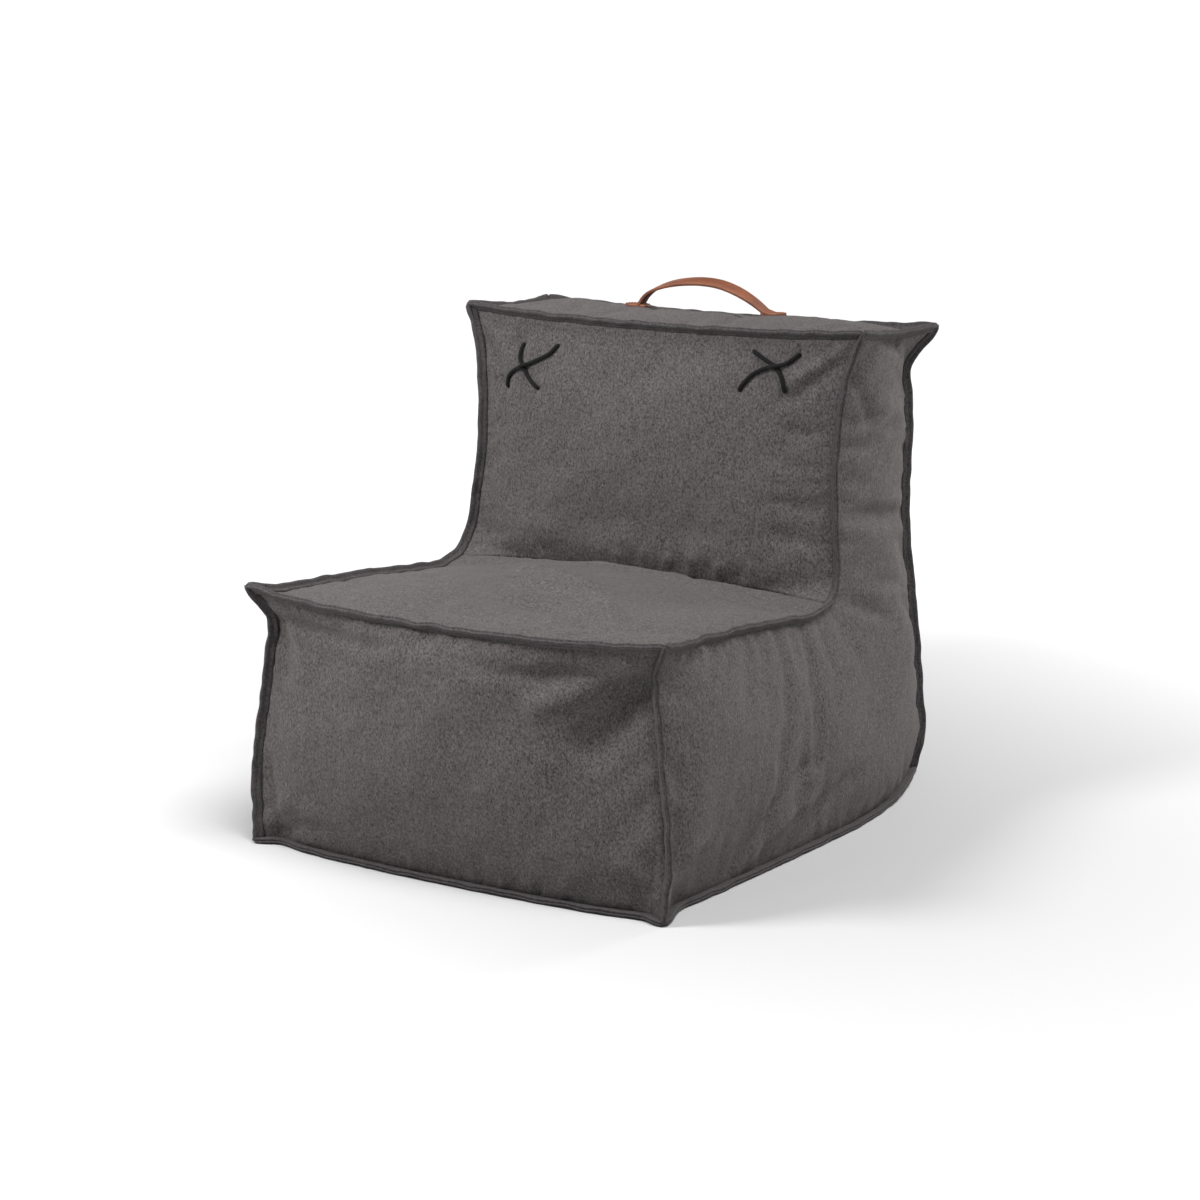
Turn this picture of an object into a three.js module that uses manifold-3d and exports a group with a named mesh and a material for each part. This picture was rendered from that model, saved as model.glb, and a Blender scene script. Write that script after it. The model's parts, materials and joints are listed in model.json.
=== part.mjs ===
/**
 * Bean bag chair: an L-shaped lounge seat sewn from fabric panels whose seams stand out as
 * flanges, over two bead-filled liners. It has a leather carrying strap on top, two cord tufts
 * on the backrest and a zip low on the rear.
 *
 * Millimetres. +X is to the right for someone facing the chair, +Y towards the back, +Z up.
 * The origin is on the floor, midway between the front and rear seam lines.
 *
 * The bag is described in flat "pattern" coordinates: across (0 at the middle), depth (0 at the
 * front seam, growing towards the back) and height. bodyPoint() carries them to the real,
 * padded shape, so every panel, liner and filling is cut from the same shape and nests.
 */
import * as THREE from "three";
import Module from "manifold-3d";

const wasm = await Module();
wasm.setup();

// Driving dimensions ---------------------------------------------------------------------

const bag = {
  width: 680, // between the left and right seam lines
  seatDepth: 545, // front seam line to the crease below the backrest
  backDepth: 279, // the crease to the rear seam line
  seatFrontHeight: 382,
  creaseHeight: 345,
  backHeight: 732, // seam line at the top front of the backrest
  topDepth: 236, // seam to seam, across the top panel
  topDrop: 13, // the top panel falls this much towards the rear
};

const puff = { front: 32, seat: 24, backrest: 30, top: 15, rear: 32, side: 34 };
const puffReach = 150; // from a seam line to where a panel has its full puff
const puffDepth = 280; // how far into the bag a panel's puff is felt
const floorBow = 30; // the side panels' bottom edges bow out this far at mid-depth
const creaseEase = { forward: 22, up: 12, reach: 60 }; // rounds the inner corner

const cover = { thickness: 2, seamGap: 3.2 }; // panels stop this far short of a seam line
const flange = { width: 14, thickness: 2.4, start: 1, cornerGap: 3 };
const liner = { thickness: 1, sideInset: 10, faceInset: 9, floorInset: 5, topInset: 8 };
const layerGap = 0.4; // between one layer and the next
const patchGap = 1.5; // between the cover and a patch sewn under it
const baffle = { thickness: 1.5, sideInset: 6, floorInset: 5, topInset: 4 };
const linerToBaffle = 8;

const handle = { offset: 14, legSpacing: 222, rise: 30, strapWidth: 26, thickness: 3, setback: 118 };
const tab = { length: 34, tipLength: 10 };
const strapClearance = 1.3; // between the strap's rounded ends and the tabs
const backing = { thickness: 1.2, length: 52, width: 44 };

const tuft = { cordRadius: 3, cordGap: 1, anchorWidth: 120, anchorHeight: 88 };
// each stroke runs from one [across, height] point on the backrest to another
const tufts = {
  left: { centre: [-238, 650], strokes: { a: [[-250, 690], [-205, 612]], b: [[-180, 690], [-276, 612]] } },
  right: { centre: [212, 680], strokes: { a: [[172, 712], [240, 640]], b: [[254, 710], [152, 642]] } },
};

const zip = {
  height: 70, // of the zip's middle above the floor
  sideInset: 29, // from the side seam lines to the ends of the toothed chain
  slot: 16, // opening between the panels' edges
  tapeWidth: 14.6,
  tapeThickness: 0.6,
  chainWidth: 2.4, // of one half
  chainThickness: 2.4,
  chainGap: 1.2, // between the halves
  tapeGap: 0.4, // between a half and its tape
  tapeOverrun: 10,
  stopLength: 4,
  endMargin: 2,
};
const slider = { length: 15, height: 11, plate: 1.8, webLength: 3, webHeight: 0.5, lugThickness: 1.2 };
const pull = {
  pinRadius: 1,
  boreRadius: 1.3,
  eyeRadius: 2.4,
  eyeWidth: 4.4,
  length: 32, // from the pin to the free end
  width: 8,
  plate: 1.4,
};

// Worked out from the sizes above ------------------------------------------------------------

const halfWidth = bag.width / 2;
const bagDepth = bag.seatDepth + bag.backDepth;
const zipPuffStart = zip.height + zip.slot; // the rear stays flat up to just above the zip
const topFrontDepth = bagDepth - bag.topDepth;

// Colours and finishes -----------------------------------------------------------------------

const finish = (color, roughness, metalness = 0) => ({ color, roughness, metalness });
const finishes = {
  cover: finish(0x6b6665, 0.95),
  base: finish(0x4d4a49, 0.95),
  flange: finish(0x5b5857, 0.95),
  liner: finish(0xd9d6cf, 0.9),
  beads: finish(0xf2f1ec, 0.85),
  leather: finish(0xa0613f, 0.55),
  cord: finish(0x161616, 0.8),
  tape: finish(0x3f3d3c, 0.9),
  chain: finish(0x2b2a2a, 0.5),
  metal: finish(0x8d8f91, 0.35, 1),
};

// Shape helpers ------------------------------------------------------------------------------

const clamp01 = (value) => Math.min(1, Math.max(0, value));
const rise = (distance) => 1 - (1 - clamp01(distance / puffReach)) ** 2;
const fade = (distance) => 1 - clamp01(distance / puffDepth);
const { lerp: mix, smoothstep } = THREE.MathUtils;

/** Evenly spaced values from one end to the other, both included. */
function spread(from, to, steps) {
  return Array.from({ length: steps + 1 }, (_, i) => mix(from, to, i / steps));
}

/** Values from one end to the other that also meet a value between them. */
function spreadVia(from, via, to, stepsBefore, stepsAfter) {
  return [...spread(from, via, stepsBefore), ...spread(via, to, stepsAfter).slice(1)];
}

/** The side profile without padding: pattern depth and height to real depth and height. */
function profilePoint(depth, height) {
  let y = depth;
  let z = height;
  if (height > bag.creaseHeight) {
    const up = (height - bag.creaseHeight) / (bag.backHeight - bag.creaseHeight);
    const back = (depth - bag.seatDepth) / bag.backDepth;
    y += (topFrontDepth - bag.seatDepth) * up * (1 - smoothstep(back, 0, 1));
    z = mix(bag.creaseHeight, bag.backHeight - bag.topDrop * back, up);
  } else if (depth < bag.seatDepth) {
    z *= mix(bag.seatFrontHeight, bag.creaseHeight, depth / bag.seatDepth) / bag.creaseHeight;
  }
  const reach = Math.hypot(depth - bag.seatDepth, height - bag.creaseHeight) / creaseEase.reach;
  const ease = Math.exp(-reach * reach);
  return [y - creaseEase.forward * ease, z + creaseEase.up * ease];
}

/** The pattern depth whose real depth, on the top panel, is this far behind its front seam. */
function depthOnTop(setback) {
  let [near, far] = [bag.seatDepth, bagDepth];
  for (let halving = 0; halving < 40; halving += 1) {
    const middle = (near + far) / 2;
    if (profilePoint(middle, bag.backHeight)[0] < topFrontDepth + setback) near = middle;
    else far = middle;
  }
  return near;
}

/** How much of its full puff the L-shaped side panel has at a point. */
function sideRise(depth, height) {
  let corner = Math.hypot(depth - bag.seatDepth, bag.creaseHeight - height);
  if (depth <= bag.seatDepth) corner = bag.creaseHeight - height;
  else if (height >= bag.creaseHeight) corner = depth - bag.seatDepth;
  return rise(depth) * rise(bagDepth - depth) * rise(height) * rise(bag.backHeight - height) * rise(corner);
}

/** Pattern coordinates to the real, padded shape. */
function bodyPoint(across, depth, height) {
  const fromSide = halfWidth - Math.abs(across);
  const sideways = across / halfWidth;
  let [y, z] = profilePoint(depth, height);
  y -= puff.front * rise(fromSide) * rise(height) * rise(bag.creaseHeight - height) * fade(depth);
  y += puff.rear * rise(fromSide) * rise(height - zipPuffStart) * rise(bag.backHeight - height)
    * fade(bagDepth - depth);
  if (height > bag.creaseHeight) {
    y -= puff.backrest * rise(fromSide) * rise(height - bag.creaseHeight)
      * rise(bag.backHeight - height) * fade(depth - bag.seatDepth);
    z += puff.top * rise(fromSide) * rise(depth - bag.seatDepth) * rise(bagDepth - depth)
      * fade(bag.backHeight - height);
  } else if (depth < bag.seatDepth) {
    z += puff.seat * rise(fromSide) * rise(depth) * rise(bag.seatDepth - depth)
      * fade(bag.creaseHeight - height);
  }
  const bow = floorBow * Math.sin(Math.PI * clamp01(depth / bagDepth)) * fade(height);
  const x = across + sideways * (puff.side * sideRise(depth, height) * fade(fromSide) + bow);
  return new THREE.Vector3(x, y - bagDepth / 2, z);
}

/** A closed mesh from points and faces (point numbers, any polygon), turned to face outwards. */
function closedMesh(points, faces) {
  const triangles = faces.flatMap((face) => face.slice(2).map((_, i) => [face[0], face[i + 1], face[i + 2]]));
  const volume = triangles.reduce((sum, [a, b, c]) => {
    return sum + points[a].dot(new THREE.Vector3().crossVectors(points[b], points[c]));
  }, 0);
  const index = triangles.flatMap(([a, b, c]) => (volume > 0 ? [a, b, c] : [a, c, b]));
  const geometry = new THREE.BufferGeometry().setFromPoints(points);
  geometry.setIndex(index);
  geometry.computeVertexNormals();
  return geometry;
}

/** A sheet with thickness: two layers of points over the same faces, walled along open edges. */
function thickSheet(outer, inner, faces) {
  const layer = outer.length;
  const edges = new Map();
  for (const face of faces) {
    face.forEach((from, i) => {
      const to = face[(i + 1) % face.length];
      edges.set(`${from},${to}`, [from, to]);
    });
  }
  const walls = [...edges.values()]
    .filter(([from, to]) => !edges.has(`${to},${from}`))
    .map(([from, to]) => [to, from, from + layer, to + layer]);
  const back = faces.map(([first, ...rest]) => [first, ...rest.reverse()].map((point) => point + layer));
  return closedMesh([...outer, ...inner], [...faces, ...back, ...walls]);
}

/** The faces of a grid of points, rows by columns, leaving out the cells that keep() refuses. */
function gridFaces(columns, rows, keep = () => true) {
  const faces = [];
  for (let row = 0; row < rows - 1; row += 1) {
    for (let column = 0; column < columns - 1; column += 1) {
      const corner = row * columns + column;
      if (keep(column, row)) faces.push([corner, corner + 1, corner + columns + 1, corner + columns]);
    }
  }
  return faces;
}

/** Drops points that no face uses and renumbers the faces. */
function compact(layers, faces) {
  const used = [...new Set(faces.flat())].sort((a, b) => a - b);
  const renumbered = new Map(used.map((point, i) => [point, i]));
  return {
    layers: layers.map((points) => used.map((point) => points[point])),
    faces: faces.map((face) => face.map((point) => renumbered.get(point))),
  };
}

/** A panel over a grid: at(s, t, inset) gives the point under the surface by inset. */
function panelSheet(sValues, tValues, at, insets, keep) {
  const layerAt = (inset) => tValues.flatMap((t) => sValues.map((s) => at(s, t, inset)));
  const { layers, faces } = compact(insets.map(layerAt), gridFaces(sValues.length, tValues.length, keep));
  return thickSheet(layers[0], layers[1], faces);
}

/** Rings of points, one after the other, joined side to side and closed at both ends. */
function loft(rings) {
  const sides = rings[0].length;
  const faces = [Array.from({ length: sides }, (_, i) => i)];
  for (let ring = 0; ring < rings.length - 1; ring += 1) {
    for (let side = 0; side < sides; side += 1) {
      const here = ring * sides;
      const next = (side + 1) % sides;
      faces.push([here + next, here + side, here + sides + side, here + sides + next]);
    }
  }
  const last = (rings.length - 1) * sides;
  faces.push(Array.from({ length: sides }, (_, i) => last + sides - 1 - i));
  return closedMesh(rings.flat(), faces);
}

/** The surface of a block in pattern coordinates, as shared points and outward faces. */
function blockSurface(acrossValues, depthValues, heightValues) {
  const lists = [acrossValues, depthValues, heightValues];
  const last = lists.map((values) => values.length - 1);
  const numbers = new Map();
  const points = [];
  const number = (cell) => {
    const key = cell.join();
    if (!numbers.has(key)) {
      numbers.set(key, points.length);
      points.push(cell.map((step, axis) => lists[axis][step]));
    }
    return numbers.get(key);
  };
  const faces = [];
  for (let axis = 0; axis < 3; axis += 1) {
    const [u, v] = [(axis + 1) % 3, (axis + 2) % 3];
    for (const end of [0, last[axis]]) {
      for (let i = 0; i < last[u]; i += 1) {
        for (let j = 0; j < last[v]; j += 1) {
          const corner = (di, dj) => {
            const cell = [0, 0, 0];
            cell[axis] = end;
            cell[u] = i + di;
            cell[v] = j + dj;
            return number(cell);
          };
          const face = [corner(0, 0), corner(1, 0), corner(1, 1), corner(0, 1)];
          faces.push(end === 0 ? face.reverse() : face);
        }
      }
    }
  }
  return { points, faces };
}

/** A box given by its lowest and highest corners. */
function boxBetween([x0, y0, z0], [x1, y1, z1]) {
  const geometry = new THREE.BoxGeometry(x1 - x0, y1 - y0, z1 - z0);
  return geometry.translate((x0 + x1) / 2, (y0 + y1) / 2, (z0 + z1) / 2);
}

/** A round bar along X, centred on the point given. */
function barAlongX(radius, length, [x, y, z], sides = 20) {
  return new THREE.CylinderGeometry(radius, radius, length, sides).rotateZ(Math.PI / 2).translate(x, y, z);
}

/** A three.js geometry as a solid that can be joined and cut. */
function solid(geometry) {
  const welded = new Map();
  const corners = geometry.index ? [...geometry.index.array] : [...geometry.attributes.position.array.keys()];
  const position = geometry.attributes.position;
  const vertices = [];
  const triVerts = corners.map((corner) => {
    const point = [position.getX(corner), position.getY(corner), position.getZ(corner)];
    const key = point.map((value) => value.toFixed(4)).join();
    if (!welded.has(key)) {
      welded.set(key, welded.size);
      vertices.push(...point);
    }
    return welded.get(key);
  });
  return new wasm.Manifold(new wasm.Mesh({
    numProp: 3,
    vertProperties: new Float32Array(vertices),
    triVerts: new Uint32Array(triVerts),
  }));
}

/** A solid back to a three.js geometry. */
function geometryOf(manifold) {
  const mesh = manifold.getMesh();
  const geometry = new THREE.BufferGeometry();
  geometry.setAttribute("position", new THREE.BufferAttribute(mesh.vertProperties, 3));
  geometry.setIndex(new THREE.BufferAttribute(mesh.triVerts, 1));
  geometry.computeVertexNormals();
  return geometry;
}

// Sub-parts ----------------------------------------------------------------------------------

const chair = new THREE.Group();

function add(name, geometry, { color, roughness, metalness }) {
  const mesh = new THREE.Mesh(geometry, new THREE.MeshStandardMaterial({ color, roughness, metalness }));
  mesh.name = name;
  chair.add(mesh);
}

/** The fabric panels, each a shell of its own between the seam lines. */
function addPanels() {
  const { seamGap } = cover;
  const skin = [0, cover.thickness];
  const across = spread(seamGap - halfWidth, halfWidth - seamGap, 14);
  const seatDepths = spread(seamGap, bag.seatDepth - seamGap, 8);
  const wallHeights = spread(seamGap, bag.creaseHeight - seamGap, 8);
  const backHeights = spread(bag.creaseHeight + seamGap, bag.backHeight - seamGap, 12);
  const topDepths = spread(bag.seatDepth + seamGap, bagDepth - seamGap, 6);
  const zipEdge = zip.slot / 2;
  const faces = {
    front_panel: [wallHeights, (x, h, inset) => bodyPoint(x, inset, h)],
    seat_panel: [seatDepths, (x, d, inset) => bodyPoint(x, d, bag.creaseHeight - inset)],
    backrest_panel: [backHeights, (x, h, inset) => bodyPoint(x, bag.seatDepth + inset, h)],
    top_panel: [topDepths, (x, d, inset) => bodyPoint(x, d, bag.backHeight - inset)],
    rear_panel_upper: [
      spread(zip.height + zipEdge, bag.backHeight - seamGap, 10),
      (x, h, inset) => bodyPoint(x, bagDepth - inset, h),
    ],
    rear_panel_lower: [
      spread(seamGap, zip.height - zipEdge, 2),
      (x, h, inset) => bodyPoint(x, bagDepth - inset, h),
    ],
  };
  for (const [name, [values, at]] of Object.entries(faces)) {
    add(name, panelSheet(across, values, at, skin), finishes.cover);
  }
  const floorDepths = spread(seamGap, bagDepth - seamGap, 10);
  const base = panelSheet(across, floorDepths, (x, d, inset) => bodyPoint(x, d, inset), skin);
  add("bottom_panel", base, finishes.base);

  const innerDepth = bag.seatDepth + seamGap;
  const innerHeight = bag.creaseHeight - seamGap;
  const depths = spreadVia(seamGap, innerDepth, bagDepth - seamGap, 7, 5);
  const heights = spreadVia(seamGap, innerHeight, bag.backHeight - seamGap, 6, 6);
  const inside = (column, row) => depths[column] >= innerDepth || heights[row] < innerHeight;
  for (const [side, sign] of [["left", -1], ["right", 1]]) {
    const at = (d, h, inset) => bodyPoint(sign * (halfWidth - inset), d, h);
    add(`${side}_side_panel`, panelSheet(depths, heights, at, skin, inside), finishes.cover);
  }
}

/** A flange standing out along a seam: stops are [across, depth, height, direction]. */
function flangeAlong(stops) {
  const seam = stops.map(([across, depth, height]) => bodyPoint(across, depth, height));
  return loft(stops.map(([, , , outward], i) => {
    const out = outward.clone().normalize();
    const along = seam[Math.min(i + 1, seam.length - 1)].clone().sub(seam[Math.max(i - 1, 0)]);
    const flat = new THREE.Vector3().crossVectors(along, out).normalize();
    const corner = (reach, side) => seam[i].clone()
      .addScaledVector(out, reach).addScaledVector(flat, side * flange.thickness / 2);
    const tip = flange.start + flange.width;
    return [corner(flange.start, -1), corner(tip, -1), corner(tip, 1), corner(flange.start, 1)];
  }));
}

/** The seam flanges, where two panels are sewn together with their edges turned outwards. */
function addFlanges() {
  const gap = flange.cornerGap;
  const direction = (x, y, z) => new THREE.Vector3(x, y, z);
  const addFlange = (name, stops) => add(name, flangeAlong(stops), finishes.flange);
  const acrossStops = (depth, height, outward) => spread(gap - halfWidth, halfWidth - gap, 12)
    .map((across) => [across, depth, height, outward]);
  addFlange("front_top_flange", acrossStops(0, bag.creaseHeight, direction(0, -1, 1)));
  addFlange("back_top_front_flange", acrossStops(bag.seatDepth, bag.backHeight, direction(0, -1, 1)));
  addFlange("back_top_rear_flange", acrossStops(bagDepth, bag.backHeight, direction(0, 1, 1)));

  // the floor flanges lie flat, just clear of the floor
  const lift = flange.thickness / 2 + layerGap;
  const front = direction(0, -1, 0);
  addFlange("floor_front_flange", acrossStops(0, lift, front));
  addFlange("floor_rear_flange", acrossStops(bagDepth, lift, front.clone().negate()));

  for (const [side, sign] of [["left", -1], ["right", 1]]) {
    const across = sign * halfWidth;
    const forward = direction(sign, -1, 0);
    const upward = direction(sign, 0, 1);
    const depthStops = (from, to, height, outward, steps) => spread(from, to, steps)
      .map((depth) => [across, depth, height, outward]);
    const heightStops = (from, to, depth, outward, steps) => spread(from, to, steps)
      .map((height) => [across, depth, height, outward]);
    addFlange(`front_${side}_flange`, heightStops(gap, bag.creaseHeight - gap, 0, forward, 10));
    const corner = creaseEase.reach / 2;
    const seatAndBack = [
      ...depthStops(gap, bag.seatDepth - corner, bag.creaseHeight, upward, 8),
      [across, bag.seatDepth, bag.creaseHeight, direction(sign, -1, 1)],
      ...heightStops(bag.creaseHeight + corner, bag.backHeight - gap, bag.seatDepth, forward, 8),
    ];
    addFlange(`seat_back_${side}_flange`, seatAndBack);
    addFlange(`back_top_${side}_flange`,
      depthStops(bag.seatDepth + gap, bagDepth - gap, bag.backHeight, upward, 6));
    addFlange(`rear_${side}_flange`,
      heightStops(gap, bag.backHeight - gap, bagDepth, direction(sign, 1, 0), 14));
    addFlange(`floor_${side}_flange`, depthStops(gap, bagDepth - gap, lift, direction(sign, 0, 0), 12));
  }
}

/** A liner with a filling slot left open underneath at its rear edge, and the beads inside it. */
function addLinerAndBeads(name, depthRange, heightRange) {
  const blockAt = (inset) => {
    const side = halfWidth - liner.sideInset - inset;
    const [bottom, top] = [heightRange[0] + inset, heightRange[1] - inset];
    const heights = top > bag.creaseHeight
      ? spreadVia(bottom, bag.creaseHeight, top, 4, 7)
      : spread(bottom, top, 6);
    return blockSurface(
      spread(-side, side, 8), spread(depthRange[0] + inset, depthRange[1] - inset, 6), heights);
  };
  const shape = (points) => points.map((point) => bodyPoint(...point));
  const outside = blockAt(0);
  const inside = blockAt(liner.thickness);
  const slotHalf = bag.width / 8;
  const middle = (face) => face.reduce((sum, i) => sum + Math.abs(outside.points[i][0]), 0) / face.length;
  const onFloor = (face) => face.every((i) => outside.points[i][2] === heightRange[0]);
  const nearRear = (face) => face.some((i) => outside.points[i][1] === depthRange[1]);
  const sewn = outside.faces.filter((face) => !(onFloor(face) && nearRear(face) && middle(face) < slotHalf));
  const { layers, faces } = compact([shape(outside.points), shape(inside.points)], sewn);
  add(`${name}_liner`, thickSheet(layers[0], layers[1], faces), finishes.liner);
  const beads = blockAt(liner.thickness + layerGap);
  add(`${name}_bead_fill`, closedMesh(shape(beads.points), beads.faces), finishes.beads);
}

/** The two filled liners and the baffle between them that draws in the crease. */
function addInsides() {
  const beforeBaffle = bag.seatDepth - baffle.thickness / 2 - linerToBaffle;
  const behindBaffle = bag.seatDepth + baffle.thickness / 2 + linerToBaffle;
  addLinerAndBeads("seat", [liner.faceInset, beforeBaffle],
    [liner.floorInset, bag.creaseHeight - liner.topInset]);
  addLinerAndBeads("back", [behindBaffle, bagDepth - liner.faceInset],
    [liner.floorInset, bag.backHeight - liner.topInset]);
  const side = halfWidth - baffle.sideInset;
  const at = (x, h, inset) => bodyPoint(x, bag.seatDepth - baffle.thickness / 2 + inset, h);
  add("crease_baffle", panelSheet(
    spread(-side, side, 8), spread(baffle.floorInset, bag.creaseHeight - baffle.topInset, 6),
    at, [0, baffle.thickness]), finishes.liner);
}

/** The cord tufts: two crossed strokes on the backrest, and the webbing that anchors them. */
function addTufts() {
  const front = (across, height, inset) => bodyPoint(across, bag.seatDepth + inset, height);
  for (const [side, { centre, strokes }] of Object.entries(tufts)) {
    for (const [stroke, [from, to]] of Object.entries(strokes)) {
      const over = stroke === "b" ? 2 * tuft.cordRadius + 1.5 * tuft.cordGap : 0; // b crosses over a
      const stations = spread(0, 1, 12).map((along) => {
        const lift = tuft.cordRadius + tuft.cordGap + over * Math.sin(Math.PI * along) ** 2;
        return front(mix(from[0], to[0], along), mix(from[1], to[1], along), -lift);
      });
      const outward = new THREE.Vector3(0, -1, 0);
      const rings = stations.map((station, i) => {
        const along = stations[Math.min(i + 1, 12)].clone().sub(stations[Math.max(i - 1, 0)]).normalize();
        const sideways = new THREE.Vector3().crossVectors(along, outward).normalize();
        const up = new THREE.Vector3().crossVectors(sideways, along);
        return spread(0, 7 / 8, 7).map((turn) => station.clone()
          .addScaledVector(sideways, tuft.cordRadius * Math.cos(2 * Math.PI * turn))
          .addScaledVector(up, tuft.cordRadius * Math.sin(2 * Math.PI * turn)));
      });
      add(`tuft_cord_${side}_${stroke}`, loft(rings), finishes.cord);
    }
    const [x, z] = centre;
    const under = cover.thickness + patchGap;
    add(`tuft_anchor_${side}`, panelSheet(
      spread(x - tuft.anchorWidth / 2, x + tuft.anchorWidth / 2, 4),
      spread(z - tuft.anchorHeight / 2, z + tuft.anchorHeight / 2, 4),
      front, [under, under + backing.thickness]), finishes.tape);
  }
}

/** The carrying handle: a strap hinged above two sewn tabs, with backings under the cover. */
function addHandle() {
  const patternDepth = depthOnTop(handle.setback);
  const topAt = (across, depth, inset) => bodyPoint(across, depth, bag.backHeight - inset);
  const legs = { left: handle.offset - handle.legSpacing / 2, right: handle.offset + handle.legSpacing / 2 };
  const halfStrap = handle.strapWidth / 2;
  const tabLift = handle.thickness + layerGap;
  const under = cover.thickness + patchGap;
  for (const [side, leg] of Object.entries(legs)) {
    const out = Math.sign(leg - handle.offset);
    const shoulder = leg + out * (tab.length - tab.tipLength);
    const tip = leg + out * tab.length;
    const stations = [
      [leg - out * handle.thickness, 1],
      [mix(leg, shoulder, 0.5), 1],
      [shoulder, 1],
      [tip, 0.3], // the ends taper to a blunt point
    ];
    const rings = stations.map(([across, share]) => {
      const corner = (sideways, lift) => topAt(across, patternDepth + sideways * share * halfStrap, -lift);
      return [corner(-1, layerGap), corner(1, layerGap), corner(1, tabLift), corner(-1, tabLift)];
    });
    add(`handle_tab_${side}`, loft(rings), finishes.leather);
    const middle = leg + out * tab.length / 2;
    add(`handle_backing_${side}`, panelSheet(
      spread(middle - backing.length / 2, middle + backing.length / 2, 3),
      spread(patternDepth - backing.width / 2, patternDepth + backing.width / 2, 3),
      topAt, [under, under + backing.thickness]), finishes.tape);
  }

  const root = topAt(legs.right, patternDepth, -tabLift);
  const axisHeight = root.z + strapClearance + halfStrap;
  const ring = (x, z, outward, halfWide) => {
    const corner = (sideways, lift) => new THREE.Vector3(
      x + outward.x * lift * handle.thickness / 2,
      root.y + sideways * halfWide,
      z + outward.z * lift * handle.thickness / 2,
    );
    return [corner(-1, -1), corner(1, -1), corner(1, 1), corner(-1, 1)];
  };
  // from the middle of the rounded end up to the hinge axis, for one leg
  const legRings = (sign) => [0.15, 0.4, 0.65, 0.85].map((share) => {
    const below = halfStrap * Math.cos(share * Math.PI / 2);
    const x = handle.offset + sign * handle.legSpacing / 2;
    return ring(x, axisHeight - below, { x: sign, z: 0 }, Math.sqrt(halfStrap ** 2 - below ** 2));
  });
  const arch = spread(0, Math.PI, 20).map((angle) => {
    const cosine = Math.cos(angle);
    const sine = Math.sin(angle);
    const x = handle.offset - cosine * handle.legSpacing / 2;
    const outward = new THREE.Vector2(-cosine / handle.legSpacing * 2, sine / handle.rise).normalize();
    return ring(x, axisHeight + sine * handle.rise, { x: outward.x, z: outward.y }, halfStrap);
  });
  add("handle_strap", loft([...legRings(-1), ...arch, ...legRings(1).reverse()]), finishes.leather);
}

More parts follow.
